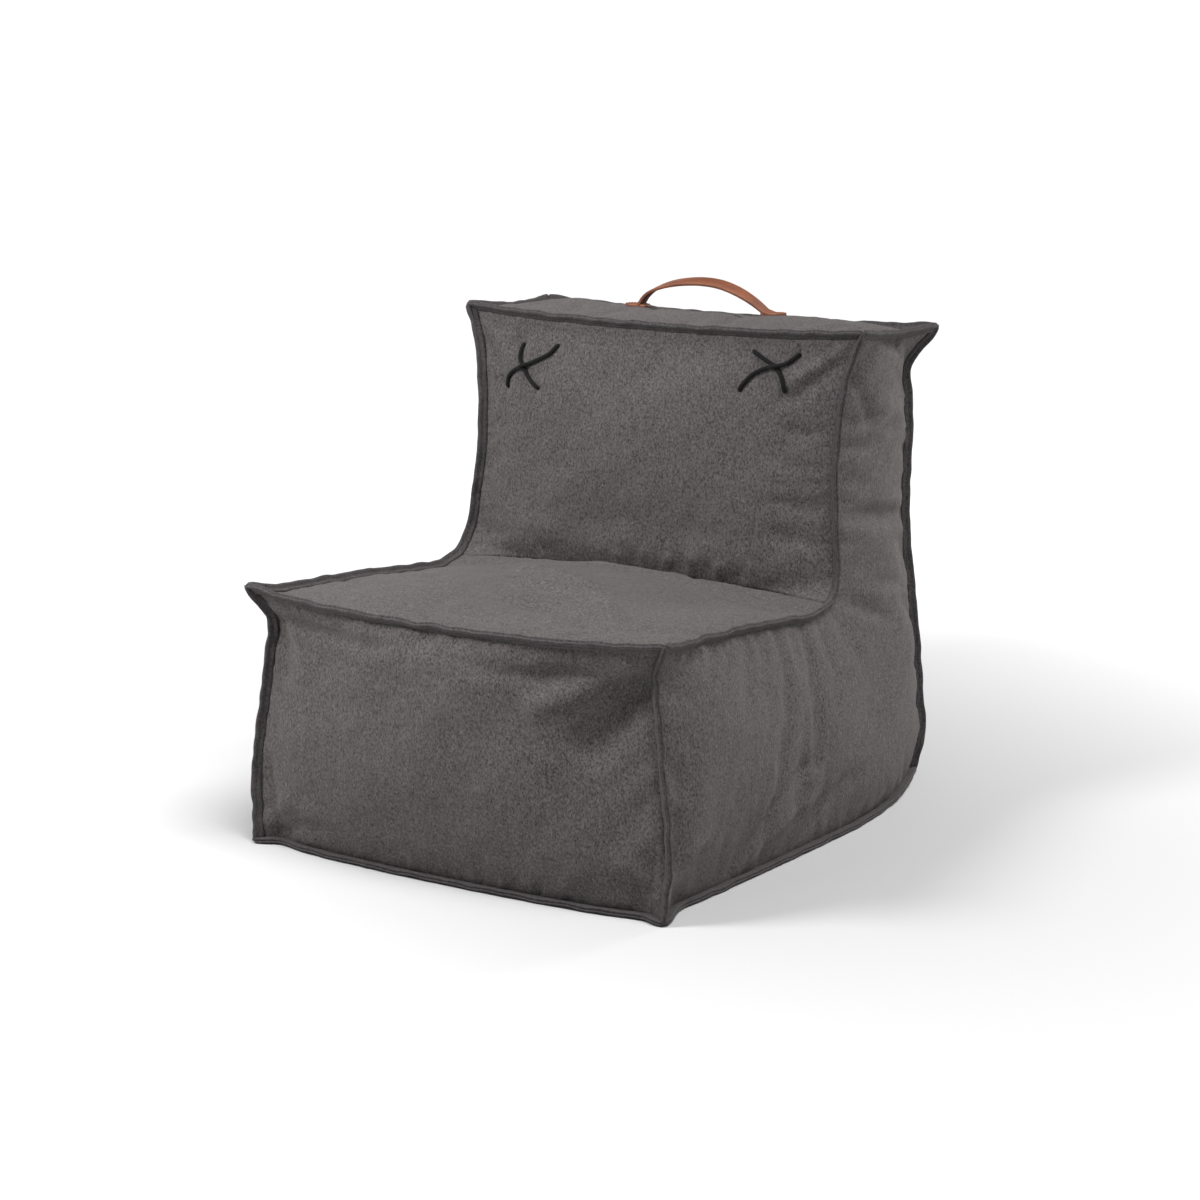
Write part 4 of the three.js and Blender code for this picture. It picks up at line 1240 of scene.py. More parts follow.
@dataclass
class Flange:
    """A seam's edges turned outwards and topstitched: two folded layers of cloth side by side."""

    name: str
    line: np.ndarray
    outward: np.ndarray
    start_corner: np.ndarray
    end_corner: np.ndarray
    width: float = 0.0138
    layer: float = 0.0031  # one folded layer's thickness
    groove: float = 0.0016  # gap between the layers at the tip
    step: float = 0.0042
    stitch: float = 0.0058  # one stitch to the next
    stitch_place: float = 0.42  # share of the width where the stitches run
    ear: float = 0.030  # length over which the flange turns into its corner
    overrun: float = 0.007
    wave: float = 0.0013
    seed: int = 1
    floor_limit: float = 0.0004

    PROFILE = (  # share of the width, side, share of the thickness
        (-0.10, 0.9), (0.12, 0.72), (0.30, 0.74), (0.42, 0.52), (0.55, 0.80), (0.78, 1.0),
        (0.93, 0.92), (1.0, 0.62), (0.985, 0.34), (0.90, 0.13),
    )

    def build(self, finish: bpy.types.Material, thread: bpy.types.Material) -> bpy.types.Object:
        """Builds the flange with its stitches.

        Args:
            finish: the cloth's material.
            thread: the stitches' material.

        Returns:
            The new object.
        """
        line = resample(self.line, max(6, round(length_of(self.line) / self.step)))
        tangent = np.gradient(line, axis=0)
        tangent /= np.linalg.norm(tangent, axis=1)[:, None]
        line = np.vstack([line[0] - tangent[0] * self.overrun, line, line[-1] + tangent[-1] * self.overrun])
        tangent = np.vstack([tangent[:1], tangent, tangent[-1:]])
        along = stations(line)
        outward = resample_rows(self.outward, len(line))
        near_start = (1 - smoothstep(along / self.ear))[:, None]
        near_end = (1 - smoothstep((along[-1] - along) / self.ear))[:, None]
        to_start, to_end = self.start_corner - outward, self.end_corner - outward
        outward = outward + near_start * to_start + near_end * to_end
        outward -= (outward * tangent).sum(1)[:, None] * tangent * 0.6
        outward /= np.linalg.norm(outward, axis=1)[:, None]
        flat = np.cross(tangent, outward)
        flat /= np.linalg.norm(flat, axis=1)[:, None]
        ends = smoothstep(along / 0.02) * smoothstep((along[-1] - along) / 0.02)
        lean = self.wave * wobble(along, 0.085, self.seed) * ends
        width = self.width * (1 + 0.03 * wobble(along, 0.05, self.seed + 1)) * (0.86 + 0.14 * ends)
        width = width + 0.0025 * (near_start[:, 0] + near_end[:, 0])
        swell = 1 + 0.05 * wobble(along, 0.022, self.seed + 2)
        sides = [(share, 1, thick) for share, thick in self.PROFILE]
        sides += [(share, -1, thick) for share, thick in reversed(self.PROFILE)]
        half = self.layer + self.groove / 2
        rings = np.empty((len(line), len(sides), 3))
        for k, (share, side, thick) in enumerate(sides):
            reach = (share * width)[:, None]
            bend = (lean * max(share, 0.0) ** 1.6)[:, None]
            rings[:, k] = line + outward * reach + flat * (bend + side * half * thick * swell[:, None])
        closing = np.minimum(1.0, 0.35 + 0.65 * np.minimum(along, along[-1] - along) / 0.004)
        middle = rings.mean(1, keepdims=True)
        rings = middle + (rings - middle) * closing[:, None, None]
        rings[..., 2] = np.maximum(rings[..., 2], self.floor_limit)
        ribbon = Ribbon()
        ribbon.loft(rings)
        self._stitch(ribbon, line, along, outward, flat, width, lean, half * swell)
        obj = ribbon.build(f"{self.name}_welt")
        obj.data.materials.append(finish)
        obj.data.materials.append(thread)
        return obj

    def _stitch(self, ribbon: Ribbon, line, along, outward, flat, width, lean, half) -> None:
        """Adds the row of stitches on both faces of the flange."""
        count = int((along[-1] - 2 * self.overrun) / self.stitch)
        for index in range(count):
            for side in (1, -1):
                spots = []
                for end in (0.16, 0.84):
                    where = self.overrun + (index + end) * self.stitch
                    place = [np.interp(where, along, line[:, k]) for k in range(3)]
                    out = np.array([np.interp(where, along, outward[:, k]) for k in range(3)])
                    face = np.array([np.interp(where, along, flat[:, k]) for k in range(3)])
                    reach = self.stitch_place * np.interp(where, along, width)
                    bend = np.interp(where, along, lean) * self.stitch_place**1.6
                    rise = 0.52 * np.interp(where, along, half)
                    spots.append((np.array(place) + out * reach + face * (bend + side * rise), face * side))
                if min(spots[0][0][2], spots[1][0][2]) > 0.0012:
                    ribbon.thread(spots[0][0], spots[1][0], spots[0][1], 0.00042)


def resample_rows(rows: np.ndarray, count: int) -> np.ndarray:
    """Directions spread evenly over that many places."""
    rows = np.atleast_2d(np.asarray(rows, float))
    if len(rows) == 1:
        return np.repeat(rows, count, axis=0)
    at = np.linspace(0, 1, count)
    have = np.linspace(0, 1, len(rows))
    return np.column_stack([np.interp(at, have, rows[:, k]) for k in range(3)])


class FlangeSet:
    """Every flange of the cover."""

    def __init__(self, plan: SeamPlan) -> None:
        """Keeps the seam plan."""
        self.plan = plan
        self.made: dict[str, bpy.types.Object] = {}

    def build(self, wardrobe: Wardrobe) -> None:
        """Builds the flanges and ties them to the bag."""
        for index, flange in enumerate(self._flanges()):
            flange.seed = 50 + 5 * index
            obj = flange.build(wardrobe.flange, wardrobe.thread)
            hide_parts(flange.name)
            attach(obj, "bag")
            self.made[flange.name] = obj
            log.info("%s is %.0f mm long", flange.name, 1000 * length_of(flange.line))

    def _flanges(self) -> list[Flange]:
        """Each flange, with its seam and the ways it stands out."""
        lines = self.plan.lines
        left, right = SIDES["left"], SIDES["right"]
        found = [
            Flange(f"{name}_flange", lines[name], heading(0, y, z),
                   heading(left, y, corner_z), heading(right, y, corner_z))
            for name, y, z, corner_z in (("front_top", -1, 1, 1), ("back_top_front", -1, 1, 1),
                                         ("back_top_rear", 1, 1, 1), ("floor_front", -1, 0.1, 0),
                                         ("floor_rear", 1, 0.1, 0))
        ]
        for side, sign in SIDES.items():
            edge = np.vstack([lines[f"seat_side_{side}"], lines[f"back_side_{side}"][1:]])
            turn = stations(edge)
            corner = length_of(lines[f"seat_side_{side}"])
            share = smoothstep((turn - corner + 0.05) / 0.12)[:, None]
            ways = (1 - share) * heading(sign, 0, 1) + share * heading(sign, -1, 0)
            spots = np.linspace(0, turn[-1], 120)
            ways = np.column_stack([np.interp(spots, turn, ways[:, k]) for k in range(3)])
            found += [
                Flange(f"front_{side}_flange", lines[f"front_upright_{side}"], heading(sign, -1, 0),
                       heading(sign, -1, 0.1), heading(sign, -1, 1)),
                Flange(f"seat_back_{side}_flange", edge, ways, heading(sign, -1, 1), heading(sign, -1, 1)),
                Flange(f"back_top_{side}_flange", lines[f"back_top_side_{side}"], heading(sign, 0, 1),
                       heading(sign, -1, 1), heading(sign, 1, 1)),
                Flange(f"rear_{side}_flange", lines[f"rear_upright_{side}"], heading(sign, 1, 0),
                       heading(sign, 1, 0.1), heading(sign, 1, 1)),
                Flange(f"floor_{side}_flange", lines[f"floor_side_{side}"], heading(sign, 0, 0.1),
                       heading(sign, -1, 0), heading(sign, 1, 0)),
            ]
        return found


# Stitched cords and the leather handle --------------------------------------------------------


def heading(x: float, y: float, z: float) -> np.ndarray:
    """The unit vector that points along x, y and z."""
    return np.array((x, y, z), float) / np.linalg.norm((x, y, z))


def lift_onto(surface: BVHTree, origins: np.ndarray, way: tuple) -> tuple[np.ndarray, np.ndarray]:
    """Carries points along a direction onto a surface.

    Args:
        surface: the surface to land on.
        origins: where each point starts from, clear of the surface.
        way: the direction of travel.

    Returns:
        Where the points land, and the surface's direction there.
    """
    places, normals = [], []
    for origin in origins:
        hit, normal, _, _ = surface.ray_cast(Vector(origin), Vector(way))
        if hit is None:
            hit, normal, _, _ = surface.find_nearest(Vector(origin))
        places.append(hit[:])
        normals.append(normal[:])
    normals = np.array(normals)
    normals *= np.where(normals @ np.array(way) > 0, -1, 1)[:, None]
    return np.array(places), normals


@dataclass
class Stroke:
    """One cord stitch, as points across and up from the cross's middle, in metres."""

    points: tuple
    lifted: bool = False  # whether it passes over the other stroke


@dataclass
class TuftCross:
    """Two cord stitches that cross on the backrest."""

    side: str
    strokes: dict[str, Stroke]
    radius: float = 0.0034
    strand_pitch: float = 0.013  # length of one turn of the cord's three strands
    dive: float = 0.006

    def centre(self) -> tuple[float, float]:
        """The place across and up that the strokes are measured from."""
        boxes = [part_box(f"tuft_cord_{self.side}_{name}") for name in self.strokes]
        spots = [(low + high) / 2 for low, high in boxes]
        return sum(s.x for s in spots) / len(spots), sum(s.z for s in spots) / len(spots)

    def dents(self) -> list[Dent]:
        """The dimples that the stitches pull into the backrest."""
        x, z = self.centre()
        found = []
        for stroke in self.strokes.values():
            for across, height in (stroke.points[0], stroke.points[-1]):
                found.append(Dent(x + across, z + height, 0.0040, 0.009))
        found.append(Dent(x, z, 0.0030, 0.034))
        return found

    def build(self, surface: BVHTree, wardrobe: Wardrobe) -> None:
        """Lays the cords on the backrest."""
        x, z = self.centre()
        paths = {name: spline([(x + a, 0.0, z + h) for a, h in stroke.points], 16)
                 for name, stroke in self.strokes.items()}
        first, second = (resample(path, 200) for path in paths.values())
        gaps = np.linalg.norm(first[:, None] - second[None], axis=2)
        crossing = first[np.unravel_index(gaps.argmin(), gaps.shape)[0]]
        for name, stroke in self.strokes.items():
            flat = resample(paths[name], max(20, round(length_of(paths[name]) / 0.0012)))
            origins = flat + np.array([0.0, -1.0, 0.0])
            places, normals = lift_onto(surface, origins, (0, 1, 0))
            along = stations(flat)
            height = np.full(len(flat), 0.7 * self.radius)
            if stroke.lifted:
                near = np.linalg.norm(flat - crossing, axis=1)
                height += 1.75 * self.radius * np.exp(-((near / 0.0075) ** 2))
            edge = np.minimum(along, along[-1] - along)
            height -= 3.2 * self.radius * (1 - smoothstep(edge / self.dive)) ** 2
            line = places + normals * height[:, None]
            for _ in range(3):
                line[1:-1] = (line[:-2] + 2 * line[1:-1] + line[2:]) / 4
            cord = self._twist(f"tuft_cord_{self.side}_{name}_rope", line, normals)
            cord.data.materials.append(wardrobe.cord)
            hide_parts(f"tuft_cord_{self.side}_{name}")
            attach(cord, "bag")
            log.info("%s is %.0f mm long", cord.name, 1000 * length_of(line))

    def _twist(self, name: str, line: np.ndarray, normals: np.ndarray) -> bpy.types.Object:
        """A tube of three twisted strands along a line."""
        tangent = np.gradient(line, axis=0)
        tangent /= np.linalg.norm(tangent, axis=1)[:, None]
        across = np.cross(tangent, normals)
        across /= np.linalg.norm(across, axis=1)[:, None]
        up = np.cross(across, tangent)
        angles = np.arange(18) * 2 * math.pi / 18
        turn = 2 * math.pi * stations(line) / self.strand_pitch
        size = self.radius * (0.86 + 0.17 * np.abs(np.cos(1.5 * (angles[None, :] - turn[:, None]))))
        rings = (line[:, None] + across[:, None] * (size * np.cos(angles))[..., None]
                 + up[:, None] * (size * np.sin(angles))[..., None])
        ribbon = Ribbon()
        ribbon.loft(rings)
        return ribbon.build(name)


def tuft_crosses() -> list[TuftCross]:
    """The two crosses on the backrest, with their cords' routes."""
    left = {
        "a": Stroke(((-0.015, 0.036), (-0.016, 0.011), (-0.008, -0.001), (0.004, -0.017), (0.026, -0.034))),
        "b": Stroke(((0.055, 0.039), (0.042, 0.023), (0.014, 0.009), (-0.008, -0.001), (-0.026, -0.009),
                     (-0.037, -0.021), (-0.040, -0.039)), lifted=True),
    }
    right = {
        "a": Stroke(((-0.036, 0.028), (-0.014, 0.017), (0.009, 0.004), (0.021, -0.013), (0.025, -0.032))),
        "b": Stroke(((0.044, 0.028), (0.025, 0.013), (0.009, 0.007), (-0.009, 0.003), (-0.027, -0.006),
                     (-0.040, -0.019), (-0.051, -0.034)), lifted=True),
    }
    return [TuftCross("left", left), TuftCross("right", right)]


@dataclass
class Handle:
    """A low leather strap that arches over the top, ending in two pointed stitched tabs."""

    # A tab's cross-section: places across it, and heights, as shares of its half width and thickness.
    TAB_SECTION = ((-1, 0.25), (-0.97, 0.75), (-0.86, 1.0), (-0.4, 1.05), (0, 1.05), (0.4, 1.05), (0.86, 1.0),
                   (0.97, 0.75), (1, 0.25), (0.9, -0.3), (0, -0.3), (-0.9, -0.3))

    thickness: float = 0.0052
    root_width: float = 0.020
    point: float = 0.013  # length of a tab's pointed end
    lean: float = 0.28  # the crown tips forward by this angle
    slack: float = 2.0  # how straight the right leg runs down
    stitch: float = 0.0042

    def build(self, surface: BVHTree, wardrobe: Wardrobe) -> None:
        """Builds the strap and its tabs on the top panel.

        Args:
            surface: the top panel's surface.
            wardrobe: the finishes.
        """
        self.surface = surface
        low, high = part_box("handle_strap")
        self.middle_y = (low.y + high.y) / 2
        self.crown_width = high.y - low.y
        self.crown = high.z
        self.legs = {"left": low.x, "right": high.x}
        for side in SIDES:
            self._tab(side, wardrobe)
        self._strap(wardrobe)

    def _height(self, x: float, y: float) -> float:
        """The top panel's height at a place."""
        places, _ = lift_onto(self.surface, np.array([[x, y, 2.0]]), (0, 0, -1))
        return float(places[0][2])

    def _tab(self, side: str, wardrobe: Wardrobe) -> None:
        """Builds one tab, flat on the cloth, with a row of stitches inside its edge."""
        low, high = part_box(f"handle_tab_{side}")
        root, tip = (high.x, low.x) if side == "left" else (low.x, high.x)
        root += math.copysign(0.004, root - tip)
        length = abs(root - tip)
        half = self.root_width / 2
        along = np.concatenate([np.linspace(0, length - self.point, 14),
                                length - self.point * np.cos(np.linspace(0.15, 1.54, 12))])
        rings, outline = [], []
        for distance in along:
            x = root + math.copysign(distance, tip - root)
            left_over = max(length - distance, 0.0) / self.point
            wide = half * min(1.0, 0.06 + left_over**0.85)
            ring = []
            for share, high_share in self.TAB_SECTION:
                y = self.middle_y + share * wide
                ring.append((x, y, self._height(x, y) + high_share * self.thickness * 0.82))
            rings.append(ring)
            outline.append((x, wide - 0.0028))
        ribbon = Ribbon()
        ribbon.loft(np.array(rings))
        self._stitch_tab(ribbon, outline)
        tab = ribbon.build(f"handle_tab_{side}_leather")
        tab.data.materials.append(wardrobe.leather)
        tab.data.materials.append(wardrobe.leather_thread)
        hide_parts(f"handle_tab_{side}")
        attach(tab, "bag")

    def _stitch_tab(self, ribbon: Ribbon, outline: list) -> None:
        """Adds the stitches along both edges of a tab, up to its point."""
        inner = [(x, wide) for x, wide in outline if wide > 0.0006]
        for sign in (-1, 1):
            row = np.array([(x, self.middle_y + sign * wide, 0.0) for x, wide in inner])
            count = int(length_of(row) / self.stitch)
            line = resample(row, 2 * count + 1)
            for index in range(count):
                start, after = line[2 * index], line[2 * index + 2]
                ends = []
                for spot in (start, start * 0.35 + after * 0.65):
                    top = self._height(spot[0], spot[1]) + self.thickness * 0.88
                    ends.append(np.array([spot[0], spot[1], top]))
                ribbon.thread(ends[0], ends[1], np.array([0.0, 0.0, 1.0]), 0.00038)

    def _strap(self, wardrobe: Wardrobe) -> None:
        """Builds the arched strap."""
        left, right = self.legs["left"], self.legs["right"]
        y = self.middle_y
        feet = {x: self._height(x, y) + 0.0012 for x in (left - 0.006, right + 0.006)}
        low_left, low_right = feet.values()
        middle = (left + right) / 2
        top = self.crown - self.thickness / 2 - 0.001
        half = (right - left) / 2
        arc = []
        for angle in np.linspace(math.radians(162), math.radians(18), 11):
            share = (1 + math.cos(angle)) / 2
            base = low_left + (low_right - low_left) * share
            power = self.slack if math.cos(angle) > 0 else 1.0
            height = base + (top - base) * math.sin(angle) ** power
            arc.append((middle + half * 1.01 * math.cos(angle), y, height))
        line = [(left - 0.010, y, low_left - 0.0004), (left - 0.004, y, low_left + 0.0018), *arc,
                (right + 0.004, y, low_right + 0.0018), (right + 0.010, y, low_right - 0.0004)]
        path = resample(spline(line, 12), 120)
        tangent = np.gradient(path, axis=0)
        tangent /= np.linalg.norm(tangent, axis=1)[:, None]
        share = stations(path) / length_of(path)
        rise = np.sin(math.pi * share)
        profile = ((-1, 0.3), (-0.985, 0.75), (-0.93, 1.0), (-0.5, 1.06), (0, 1.08), (0.5, 1.06), (0.93, 1.0),
                   (0.985, 0.75), (1, 0.3), (1, -0.3), (0.985, -0.75), (0.93, -1.0), (0, -1.0), (-0.93, -1.0),
                   (-0.985, -0.75), (-1, -0.3))
        # Faces on the strap's underside take the darker copy, which is painted shade.
        side_slots = [1 if a[1] <= -0.75 and b[1] <= -0.75 else 0
                      for a, b in zip(profile, profile[1:] + profile[:1])]
        rings = []
        for place, way, up_share in zip(path, tangent, rise):
            tip = self.lean * up_share
            across = np.array([0.0, math.cos(tip), math.sin(tip)])
            across -= (across @ way) * way
            across /= np.linalg.norm(across)
            up = np.cross(way, across)
            up *= math.copysign(1.0, up[2])
            half_width = (self.root_width + (self.crown_width - self.root_width) * min(1, 1.6 * up_share)) / 2
            rings.append([place + across * wide * half_width + up * tall * self.thickness / 2
                          for wide, tall in profile])
        ribbon = Ribbon()
        ribbon.loft(np.array(rings), side_slots=side_slots)
        strap = ribbon.build("handle_strap_leather")
        strap.data.materials.append(wardrobe.leather)
        strap.data.materials.append(wardrobe.suede_painted_shade)
        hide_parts("handle_strap")
        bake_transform(strap)
        log.info("handle strap is %.0f mm long", 1000 * length_of(path))


# The zip --------------------------------------------------------------------------------------


@dataclass
class Zip:
    """A coil zip across the foot of the rear panel."""

    tooth: float = 0.0024  # one tooth to the next on one side
    tape_end: float = 0.018  # the tapes run on this far, into the side seams

    def build(self, wardrobe: Wardrobe) -> None:
        """Builds the tapes and teeth, and finishes the slider, pull and stops."""
        for edge, sign in (("upper", 1.0), ("lower", -1.0)):
            self._tape(edge, wardrobe)
            self._teeth(edge, sign, wardrobe)
        nodes = {o.name: o for o in bpy.data.objects if o.get("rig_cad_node")}
        for name in ("zip_slider", "zip_pull", "zip_stop_left", "zip_stop_right"):
            piece = nodes[name]
            piece.data.materials.clear()
            piece.data.materials.append(wardrobe.metal)
            rounding = piece.modifiers.new("rounding", "BEVEL")
            rounding.width = 0.0004
            rounding.segments = 2

    def _tape(self, edge: str, wardrobe: Wardrobe) -> None:
        """Builds one tape, a narrow woven strip with a slight ripple."""
        low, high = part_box(f"zip_tape_{edge}")
        columns, rows = 241, 7
        x = np.linspace(low.x - self.tape_end, high.x + self.tape_end, columns)
        z = np.linspace(low.z, high.z, rows)
        middle = (low.y + high.y) / 2
        grid_x, grid_z = np.meshgrid(x, z)
        ripple = 0.00025 * wobble(grid_x, 0.04, 71 if edge == "upper" else 72)
        points = np.stack([grid_x, middle + ripple, grid_z], axis=2).reshape(-1, 3)
        faces = [(j * columns + i, j * columns + i + 1, (j + 1) * columns + i + 1, (j + 1) * columns + i)
                 for j in range(rows - 1) for i in range(columns - 1)]
        tape = make_mesh(f"zip_tape_{edge}_woven", points, faces)
        wall = tape.modifiers.new("wall", "SOLIDIFY")
        wall.thickness = 0.0007
        wall.offset = 0.0
        bake_modifiers(tape)
        tape.data.materials.clear()
        tape.data.materials.append(wardrobe.zip_tape)
        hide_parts(f"zip_tape_{edge}")
        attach(tape, "bag")

    def _teeth(self, edge: str, sign: float, wardrobe: Wardrobe) -> None:
        """Builds one side's teeth along its cord."""
        low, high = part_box(f"zip_chain_{edge}")
        middle_y, depth = (low.y + high.y) / 2, high.y - low.y
        inner, outer = (low.z, high.z) if sign > 0 else (high.z, low.z)
        reach = outer - inner
        offset = 0.0 if sign > 0 else self.tooth / 2
        count = int((high.x - low.x - self.tooth) / self.tooth)
        ribbon = Ribbon()
        for index in range(count):
            x = low.x + offset + (index + 0.5) * self.tooth
            rings = []
            for share, thick, wide in ((-0.12, 0.35, 0.30), (0.02, 0.85, 0.42), (0.3, 0.9, 0.30),
                                       (0.85, 0.9, 0.34), (1.0, 0.6, 0.30)):
                z = inner + reach * share
                half_width, half_depth = self.tooth * wide, 0.5 * depth * thick
                rings.append([(x + half_width * math.cos(t), middle_y + half_depth * math.sin(t), z)
                              for t in np.arange(6) * math.pi / 3])
            ribbon.loft(np.array(rings))
        cord_z = inner + 0.72 * reach
        ends = np.linspace(low.x, high.x, 60)
        ribbon.loft(np.array([[(x, middle_y + 0.36 * depth * math.cos(t), cord_z + 0.0005 * math.sin(t))
                               for t in np.arange(6) * math.pi / 3] for x in ends]))
        teeth = ribbon.build(f"zip_chain_{edge}_teeth")
        teeth.data.materials.append(wardrobe.chain)
        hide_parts(f"zip_chain_{edge}")
        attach(teeth, "bag")


# Inside the cover -----------------------------------------------------------------------------


class Filling:
    """The liners, their beads, the baffle between them, and the patches behind the fittings."""

    INSET = 0.036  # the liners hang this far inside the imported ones, clear of the drawn-in seams

    def build(self, cover: Cover, wardrobe: Wardrobe) -> None:
        """Builds everything that the cover hides."""
        for place, lean in (("seat", 0.0), ("back", 0.030)):
            self._bag_of_beads(place, lean, wardrobe)
        self._baffle(cover.plan, wardrobe)
        backrest, top = cover.surface("backrest_panel"), cover.surface("top_panel")
        for side in SIDES:
            self._patch(f"tuft_anchor_{side}", backrest, (0, 1, 0), wardrobe)
            self._patch(f"handle_backing_{side}", top, (0, 0, -1), wardrobe)

    def _pillow(self, name: str, low: np.ndarray, high: np.ndarray, lean: float, bulk: float,
                lumps: float, seed: int) -> bpy.types.Object:
        """A crowned rounded block.

        Args:
            name: the object's name.
            low: its lowest corner.
            high: its highest corner.
            lean: how far its front face leans back from its foot to its top.
            bulk: how square it is, from 2, round, upwards.
            lumps: height of its uneven bumps.
            seed: picks the bumps.

        Returns:
            The new object.
        """
        work = bmesh.new()
        bmesh.ops.create_cube(work, size=2.0)
        bmesh.ops.subdivide_edges(work, edges=work.edges, cuts=27, use_grid_fill=True)
        mesh = bpy.data.meshes.new(name)
        work.to_mesh(mesh)
        work.free()
        cube = coordinates(mesh)
        norm = (np.abs(cube) ** bulk).sum(1) ** (1 / bulk)
        unit = cube / norm[:, None]
        half = (high - low) / 2
        points = (high + low) / 2 + unit * half
        tall = (points[:, 2] - low[2]) / (high[2] - low[2])
        front = (high[1] - points[:, 1]) / (high[1] - low[1])
        points[:, 1] += lean * tall * front
        points += unit * (cloud(points, 0.09, seed) * lumps)[:, None]
        points[:, 2] = np.maximum(points[:, 2], low[2])
        set_coordinates(mesh, points)
        mesh.shade_smooth()
        obj = bpy.data.objects.new(name, mesh)
        bpy.context.scene.collection.objects.link(obj)
        return obj

    def _bag_of_beads(self, place: str, lean: float, wardrobe: Wardrobe) -> None:
        """Builds one liner bag and the beads that fill it."""
        low, high = (np.array(corner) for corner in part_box(f"{place}_liner"))
        low, high = low + self.INSET, high - self.INSET
        low[2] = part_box(f"{place}_liner")[0].z + 0.004
        low[0], high[0] = low[0] + 0.020, high[0] - 0.020
        if place == "back":
            low[1] += 0.010
        else:
            high[2] -= 0.014
        liner = self._pillow(f"{place}_liner_bag", low, high, lean, 7.0, 0.0022, 81)
        wall = liner.modifiers.new("wall", "SOLIDIFY")
        wall.thickness = 0.0008
        wall.offset = -1.0
        bake_modifiers(liner)
        liner.data.materials.clear()
        liner.data.materials.append(wardrobe.lining)
        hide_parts(f"{place}_liner")
        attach(liner, "bag")
        beads = self._pillow(f"{place}_bead_heap", low + 0.004, high - 0.004, lean, 6.5, 0.0012, 83)
        beads.data.materials.append(wardrobe.beads)
        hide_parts(f"{place}_bead_fill")
        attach(beads, "bag")

    def _baffle(self, plan: SeamPlan, wardrobe: Wardrobe) -> None:
        """Builds the cloth wall that hangs from the crease between the two liners."""
        low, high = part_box("crease_baffle")
        columns, rows = 81, 41
        x = np.linspace(low.x + 0.050, high.x - 0.050, columns)
        z = np.linspace(low.z + 0.003, plan.crease_z - 0.020, rows)
        grid_x, grid_z = np.meshgrid(x, z)
        middle = (low.y + high.y) / 2
        sway = 0.0012 * wobble(grid_x, 0.16, 77) * np.sin(math.pi * (grid_z - z[0]) / (z[-1] - z[0]))
        points = np.stack([grid_x, middle + sway, grid_z], axis=2).reshape(-1, 3)
        faces = [(j * columns + i, j * columns + i + 1, (j + 1) * columns + i + 1, (j + 1) * columns + i)
                 for j in range(rows - 1) for i in range(columns - 1)]
        baffle = make_mesh("crease_baffle_cloth", points, faces)
        wall = baffle.modifiers.new("wall", "SOLIDIFY")
        wall.thickness = 0.001
        wall.offset = 0.0
        bake_modifiers(baffle)
        baffle.data.materials.clear()
        baffle.data.materials.append(wardrobe.lining)
        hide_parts("crease_baffle")
        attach(baffle, "bag")

    def _patch(self, node: str, surface: BVHTree, way: tuple, wardrobe: Wardrobe) -> None:
        """Builds a cloth patch that lies against the inside of a panel.

        Args:
            node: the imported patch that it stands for.
            surface: the panel's surface.
            way: the direction from outside to inside.
            wardrobe: the finishes.
        """
        low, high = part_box(node)
        second = 2 if way[1] else 1
        columns, rows = 25, 19
        u = np.linspace(low[0], high[0], columns)
        v = np.linspace(low[second], high[second], rows)
        origins = np.zeros((rows, columns, 3))
        origins[..., 0] = u[None, :]
        origins[..., second] = v[:, None]
        origins = origins.reshape(-1, 3) - 2.0 * np.array(way)
        places, normals = lift_onto(surface, origins, way)
        points = places - normals * 0.0034
        faces = [(j * columns + i, j * columns + i + 1, (j + 1) * columns + i + 1, (j + 1) * columns + i)
                 for j in range(rows - 1) for i in range(columns - 1)]
        patch = make_mesh(f"{node}_cloth", points, faces)
        wall = patch.modifiers.new("wall", "SOLIDIFY")
        wall.thickness = 0.0011
        wall.offset = 0.0
        bake_modifiers(patch)
        patch.data.materials.clear()
        patch.data.materials.append(wardrobe.webbing)
        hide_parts(node)
        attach(patch, "bag")


# Studio ---------------------------------------------------------------------------------------


